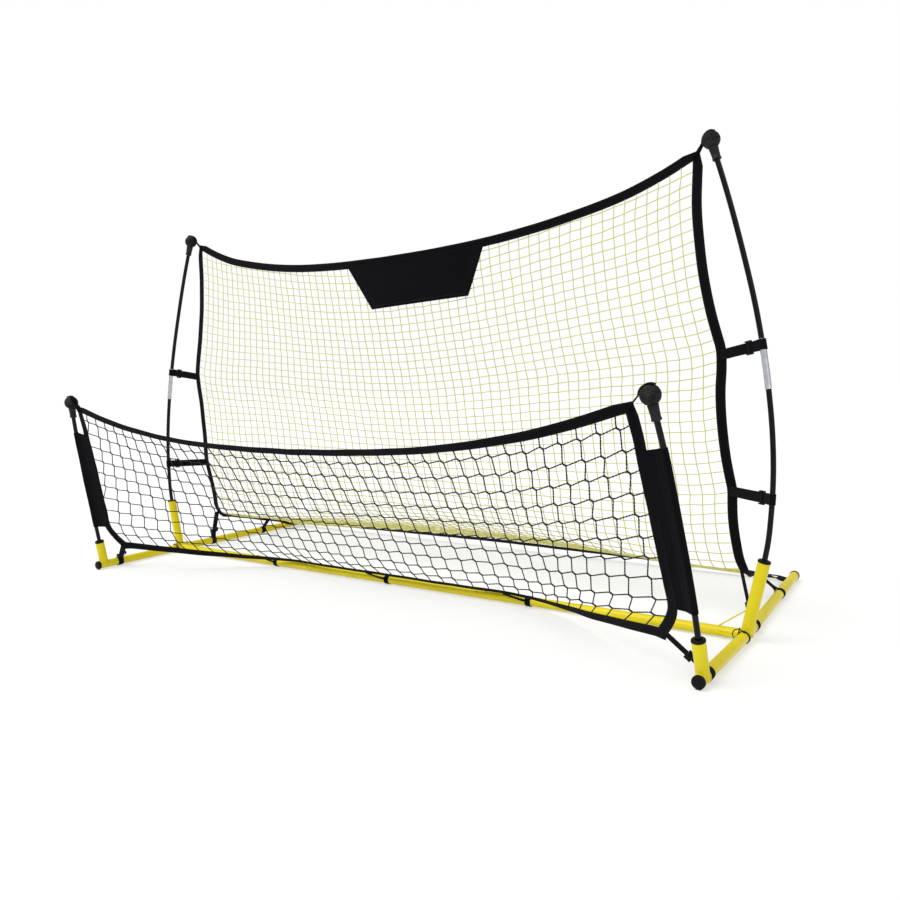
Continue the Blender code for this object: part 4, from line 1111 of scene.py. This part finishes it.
def front_arm_distance(p):
    axis = arm_point(p[1])
    return math.hypot(p[0] - axis[0], p[2] - axis[2])


def bead_round(foot, slope, radius, distance):
    """Where lines down a socket's surface first meet the tubes below it."""
    a = square_to(np.array((1.0, 0.0, 0.0)), slope)
    line = []
    for side_point in arc(foot, radius, a, np.cross(slope, a), np.linspace(0, 2 * math.pi, 73)):
        for rise in np.arange(0.030, -0.004, -0.0003):
            point = side_point + slope * rise
            if distance(point) <= TUBE_R + 0.0003 or rise < 0.0001:
                line.append(point)
                break
    return line


def make_bar_loops():
    """Webbing loops that hold the low net's bottom tape to the crossbar."""
    for name, x in BAR_LOOPS_X.items():
        turn = np.linspace(0, 2 * math.pi, 41)[:-1]
        round_bar = ((0.0, 1.0, 0.0), (0.0, 0.0, 1.0), turn)
        centre = np.array((x, 0.0, FLOOR_TO_AXIS))
        ring = arc(centre, TUBE_R + SLEEVE_GAP + STRAP_T / 2, *round_bar)
        loop = webbing(ring, arc(0.0, 1.0, *round_bar), [(1.0, 0.0, 0.0)] * 40, 0.017, STRAP_T,
                       closed=True)
        start, end = np.array((x, -0.0129, 0.0160)), np.array((x - 0.060, -0.0279, 0.0330))
        bend = [start + np.array((0.004, 0.0006, -0.006)), start, start * 0.7 + end * 0.3,
                start * 0.3 + end * 0.7, end, end + (end - start) * 0.12]
        path = smooth_line(bend, 14)
        face, width = np.array((0.0, -0.74, -0.67)), np.array((0.0, 0.67, -0.74))
        tail = webbing(path, [face] * 14, [width] * 14, 0.012, STRAP_T)
        add(f"{name}_bar_loop_webbing", merged([loop, tail]), "webbing", [f"{name}_crossbar_loop"])


def drooped(loop, outward, normals):
    """The tall net's tape where it runs back above the ground, its outer edge hanging down."""
    for i, (_, y, _) in enumerate(loop):
        begun, far_back = np.clip(((y - 0.155) / 0.03, (y - 0.25) / 0.35), 0, 1)
        turn = math.radians(DROOP - (DROOP - DROOP_AT_REAR) * far_back) * begun
        away, face = outward[i].copy(), normals[i].copy()
        sign, cos, sin = math.copysign(1.0, face[2]), math.cos(turn), math.sin(turn)
        outward[i] = away * cos - face * sign * np.linalg.norm(away) * sin
        normals[i] = unit(face * cos + away * sign * sin)


def border(grid, gap, width):
    """A net's edge loop: points on the tape's middle, the way out of the net and the normal."""
    rows, columns = grid.shape[:2]
    right, left = grid[:, -1] - grid[:, -2], grid[:, 0] - grid[:, 1]
    up, down = grid[-1] - grid[-2], grid[0] - grid[1]
    loop, outward = [], []

    def note(r, c, *ways):
        total = sum(unit(w) for w in ways)
        if len(ways) == 2:
            sharpest = 0.45
            total = total / max(sharpest, 1 + float(np.dot(unit(ways[0]), unit(ways[1]))))
            total = total * min(1.0, CORNER_REACH / np.linalg.norm(total))
        loop.append(grid[r, c])
        outward.append(total)

    for c in range(columns - 1):
        note(0, c, *((down[c],) if c else (down[0], left[0])))
    for r in range(rows - 1):
        note(r, columns - 1, *((right[r],) if r else (right[0], down[-1])))
    for c in range(columns - 1, 0, -1):
        note(rows - 1, c, *((up[c],) if c < columns - 1 else (up[-1], right[-1])))
    for r in range(rows - 1, 0, -1):
        note(r, 0, *((left[r],) if r < rows - 1 else (left[-1], up[0])))
    loop, outward = np.array(loop), np.array(outward)
    along = np.roll(loop, -1, axis=0) - np.roll(loop, 1, axis=0)
    normals = []
    for i in range(len(loop)):
        tangent = unit(along[i])
        if abs(np.linalg.norm(outward[i]) - 1.0) < 1e-6:
            outward[i] = square_to(outward[i], tangent)
        normals.append(unit(np.cross(tangent, outward[i])))
    normals = np.array(normals)
    if grid[0, :, 1].max() > FLOOR_RUN_Y:
        drooped(loop, outward, normals)
    return loop + outward * (gap + width / 2), outward, normals


def make_tape(name, grid, node):
    """The webbing sewn round a net's edge, with its stitching. Returns the tape's top corners,
    the right-hand one under 1.0 and the left-hand one under -1.0."""
    middle, outward, normals = border(grid, 0.0005, TAPE_WIDTH)
    stretch = np.linalg.norm(outward, axis=1)
    wave = np.arange(len(middle))
    lift = 0.0003 * np.sin(wave * 0.7) + 0.0002 * np.sin(wave * 0.31 + 2.0)
    path = middle + normals * lift[:, None]
    tape = webbing(path, normals, outward, TAPE_WIDTH * stretch, TAPE_T, closed=True)
    add(f"{name}_tape_webbing", tape, "webbing", [node])
    runs = []
    for across in (-STITCH_INSET, STITCH_INSET):
        for face in (1.0, -1.0):
            line = path + outward * across * TAPE_WIDTH
            line = np.vstack([line, line[:1]])
            ways = np.vstack([normals, normals[:1]]) * face
            runs.append(stitches(line, ways, 0.0072, TAPE_T * 0.48))
    add(f"{name}_tape_stitching", merged(runs), "thread")
    top_right = sum(grid.shape[:2]) - 2
    return {1.0: middle[top_right], -1.0: middle[top_right + grid.shape[1] - 1]}


def make_corner_tabs(place, corners, poles):
    """Doubled webbing from each top corner of a net over the ball cap on its pole."""
    for label, side in SIDES:
        line = poles[label][0 if place == "front" else 1]
        tip = mirrored(line[-1], side)
        up = unit(tip - mirrored(line[-2], side))
        toward = corners[side] - tip
        toward = square_to(toward, up)
        across = np.cross(up, toward)
        turn = np.radians(np.linspace(12, 128, 22))
        over = arc(tip, BALL_R + 0.0011, toward, up, turn)
        start = corners[side] + (corners[side] - over[0]) * 0.25
        reach = [start + (over[0] - start) * share for share in np.linspace(0, 0.85, 7)]
        faces_to = [unit(np.cross(across, over[0] - start))] * 7 + arc(0.0, 1.0, toward, up, turn)
        path = reach + over
        widths = np.interp(range(len(path)), (0, 6), (0.020, 0.013))
        tab = webbing(path, faces_to, [across] * len(path), widths, 0.0022)
        add(f"{label}_{place}_corner_tab", tab, "webbing")


def make_rear_net():
    """The tall square-mesh net: columns and rows of fine yellow twine, joined where they cross."""
    columns, rows = SQUARE_COLUMNS, SQUARE_ROWS
    nodes = net_grid(*REAR_NET, columns, rows)
    top_x, top_z = nodes[-1, :, 0].copy(), nodes[-1, :, 2].copy()
    corners = make_tape("rear_net", net_grid(*REAR_NET, 140, 110), "rear_net_border_tape")
    half_width, most_rise = 0.92, 0.022  # rows are drawn up between the middle and the sides
    s = np.clip(np.abs(nodes[..., 0]) / half_width, 0, 1)
    rise = most_rise * s**2 * (1 - s) * 6.75
    nodes[..., 2] += rise * np.clip((nodes[..., 2] - 0.25) / 0.2, 0.0, 1.0)
    loose = rng.normal(0.0, 0.0007, nodes.shape)
    nodes[1:-1, 1:-1] += loose[1:-1, 1:-1]
    nodes[:, 0, 0] -= TUCKED
    nodes[:, -1, 0] += TUCKED
    nodes[0, :, 1] += TUCKED

    def room_left(p):
        return np.interp(p[0], top_x, top_z) + TUCKED - p[2]

    def cut(line):
        """The part of a strand that lies under the top tape, as runs of points."""
        runs, run = [], []
        for a, b in zip(line[:-1], line[1:]):
            left_a, left_b = room_left(a), room_left(b)
            if left_a >= 0 and not run:
                run.append(a)
            if left_a >= 0 and left_b >= 0:
                run.append(b)
            elif left_a >= 0 or left_b >= 0:
                edge = a + (b - a) * left_a / (left_a - left_b)
                run = run + [edge] if left_a >= 0 else [edge, b]
                if left_a >= 0:
                    runs.append(run)
                    run = []
        return runs + ([run] if len(run) > 1 else [])

    strands = []
    for line in [nodes[:, c] for c in range(1, columns)] + list(nodes[1:]):
        strands += cut(line)
    twines = [rod(run, YARN_R, 5) for run in strands if len(run) > 1]
    joints = []
    for r in range(1, rows + 1):
        for c in range(1, columns):
            if room_left(nodes[r, c]) > 0:
                way = unit(nodes[r, c + 1] - nodes[r, c - 1])
                line = [nodes[r, c] + way * d for d in (-0.0021, -0.0009, 0.0009, 0.0021)]
                joints.append(rod(line, (0.0011, 0.0016, 0.0016, 0.0011), 6))
    add("tall_net_twine", merged(twines), "yellow_net", ["tall_rear_net"])
    add("tall_net_joints", merged(joints), "yellow_net")
    return corners


def twisted(path):
    """Two plies wound round each other along a path."""
    there = travelled(path)
    spots = np.linspace(0.0, there[-1], max(2, int(there[-1] / 0.004)))
    line = between(path, there, spots)
    across = frames(line)
    first, second = (np.array([pair[k] for pair in across]) for k in (0, 1))
    turn = spots[:, None] * 2 * math.pi / PLY_TURN
    aside = PLY_OFFSET * (np.cos(turn) * first + np.sin(turn) * second)
    return [rod(line + aside, PLY_R, 5), rod(line - aside, PLY_R, 5)]


def make_front_net():
    """The low net: two-ply knotless hexagons, a short joint between two three-way meetings
    slanting down to the right. The mesh is cut askew, so its columns lean as they go down."""
    fine = net_grid(*FRONT_NET, 120, 60)
    corners = make_tape("front_net", fine, "front_net_border_tape")
    half_joint = np.array((0.0044, 0.0, -0.0026))
    aside, below = np.array((TUCKED, 0.0, 0.0)), np.array((0.0, 0.0, -TUCKED))

    def share(u, row):
        """Shares across and up of the joint in this row of the column that starts at u."""
        v = TOP_ROW_V - HEX_HEIGHT * row
        return u - lean(u) * (1 - v), v

    def lean(u):
        return HEX_LEAN * (1 - u**10)

    def through(spots):
        """The way along each joint in turn."""
        return [p for spot in spots for p in (spot - half_joint, spot + half_joint)]

    starts = [(c + 0.5) / HEX_COLUMNS for c in range(HEX_COLUMNS)]
    shares = [[share(u, r) for u in starts] for r in range(HEX_ROWS)]
    loose = rng.normal(0.0, 0.0009, (HEX_ROWS, HEX_COLUMNS, 3)) * np.array((1.0, 0.3, 1.0))
    centres = {}
    for r in range(HEX_ROWS):
        for c, (u, v) in enumerate(shares[r]):
            if u > HEX_LEAST_U and v > HEX_LEAST_V:
                centres[r, c] = on_grid(fine, u, v) + loose[r, c]
    strands = []
    for r in range(HEX_ROWS):
        inside = [c for c in range(HEX_COLUMNS) if (r, c) in centres]
        line = through([centres[r, c] for c in inside])
        first, last = shares[r][inside[0]], shares[r][inside[-1]]
        if inside[0] and shares[r][inside[0] - 1][1] <= HEX_LEAST_V:
            start = on_grid(fine, first[0] - 0.4 / HEX_COLUMNS, 0.0) + below
        else:
            start = on_grid(fine, 0.0, first[1]) - aside
        if inside[-1] < HEX_COLUMNS - 1:
            end = on_grid(fine, last[0] + 0.4 / HEX_COLUMNS, 0.0) + below
        else:
            end = on_grid(fine, 1.0, last[1]) + aside
        strands.append([start] + line + [end])
    for c, u in enumerate(starts):
        inside = [r for r in range(HEX_ROWS) if (r, c) in centres]
        top = on_grid(fine, u, 1.0)
        start = top + unit(top - centres[0, c]) * TUCKED
        after = shares[min(inside[-1] + 1, HEX_ROWS - 1)][c]
        if after[0] <= HEX_LEAST_U:
            end = on_grid(fine, 0.0, after[1]) - aside
        else:
            end = on_grid(fine, max(u - lean(u), 0.0), 0.0)
            end += unit(end - centres[inside[-1], c]) * TUCKED
        strands.append([start] + through([centres[r, c] for r in inside]) + [end])
    yarns = []
    for line in strands:
        yarns += twisted(rounded(line, 0.0045))
    joints = []
    for p in centres.values():
        line = [p + half_joint * s for s in (-1.25, -0.9, 0.0, 0.9, 1.25)]
        joints.append(rod(line, (0.0016, 0.0021, 0.0022, 0.0021, 0.0016), 8))
    add("low_net_twine", merged(yarns), "black_net", ["low_front_net"])
    add("low_net_joints", merged(joints), "black_net")
    return corners


def make_badge():
    """The plain cloth panel sewn to the tall net's top tape, with stitching near its edges."""
    grid = net_grid(*REAR_NET, 40, 40)
    columns, rows = 49, 17
    points = np.zeros((rows, columns, 3))
    for r in range(rows):
        v = r / (rows - 1)
        left = (1 - v) * np.array(BADGE[3]) + v * np.array(BADGE[0])
        right = (1 - v) * np.array(BADGE[2]) + v * np.array(BADGE[1])
        for c in range(columns):
            share = c / (columns - 1)
            x, z = left + (right - left) * share
            billow = 0.0012 * math.sin(math.pi * v) * math.sin(2.3 * math.pi * share + 0.4)
            points[r, c] = (x, surface_y(grid, x, z) - BADGE_AHEAD + billow, z)
    panel = add("badge_panel_cloth", sheet(points, 0.0012), "panel_fabric", ["badge_panel"])
    runs = []
    for inset in (2, 3):
        edge = list(points[::-1, inset]) + list(points[inset // 2, inset:columns - inset])
        edge += list(points[:, columns - 1 - inset])
        runs.append(stitches(np.array(edge), [(0.0, -1.0, 0.0)] * len(edge), 0.0060, 0.0007))
    add("badge_panel_stitching", merged(runs), "thread")


def main():
    make_camera()
    for label, side in SIDES:
        make_tie(label, side)
    make_studio()
    all_poles = {}
    for label, side in SIDES:
        poles = all_poles[label] = make_poles(label, side)
        make_ball_caps(label, side, poles)
        keep_node(f"{label}_front_arm", "yellow_paint")
        keep_node(f"{label}_rear_frame", "yellow_paint")
        make_plugs(label, side)
        make_side_straps(label, side, poles[1])
        make_corner_straps(label, side)
        make_sleeve(label, side, poles[0])
        make_button(label, side)
        make_welds(label, side)
    keep_node("middle_crossbar_tube", "yellow_paint")
    make_bar_loops()
    make_corner_tabs("rear", make_rear_net(), all_poles)
    make_corner_tabs("front", make_front_net(), all_poles)
    make_badge()


main()
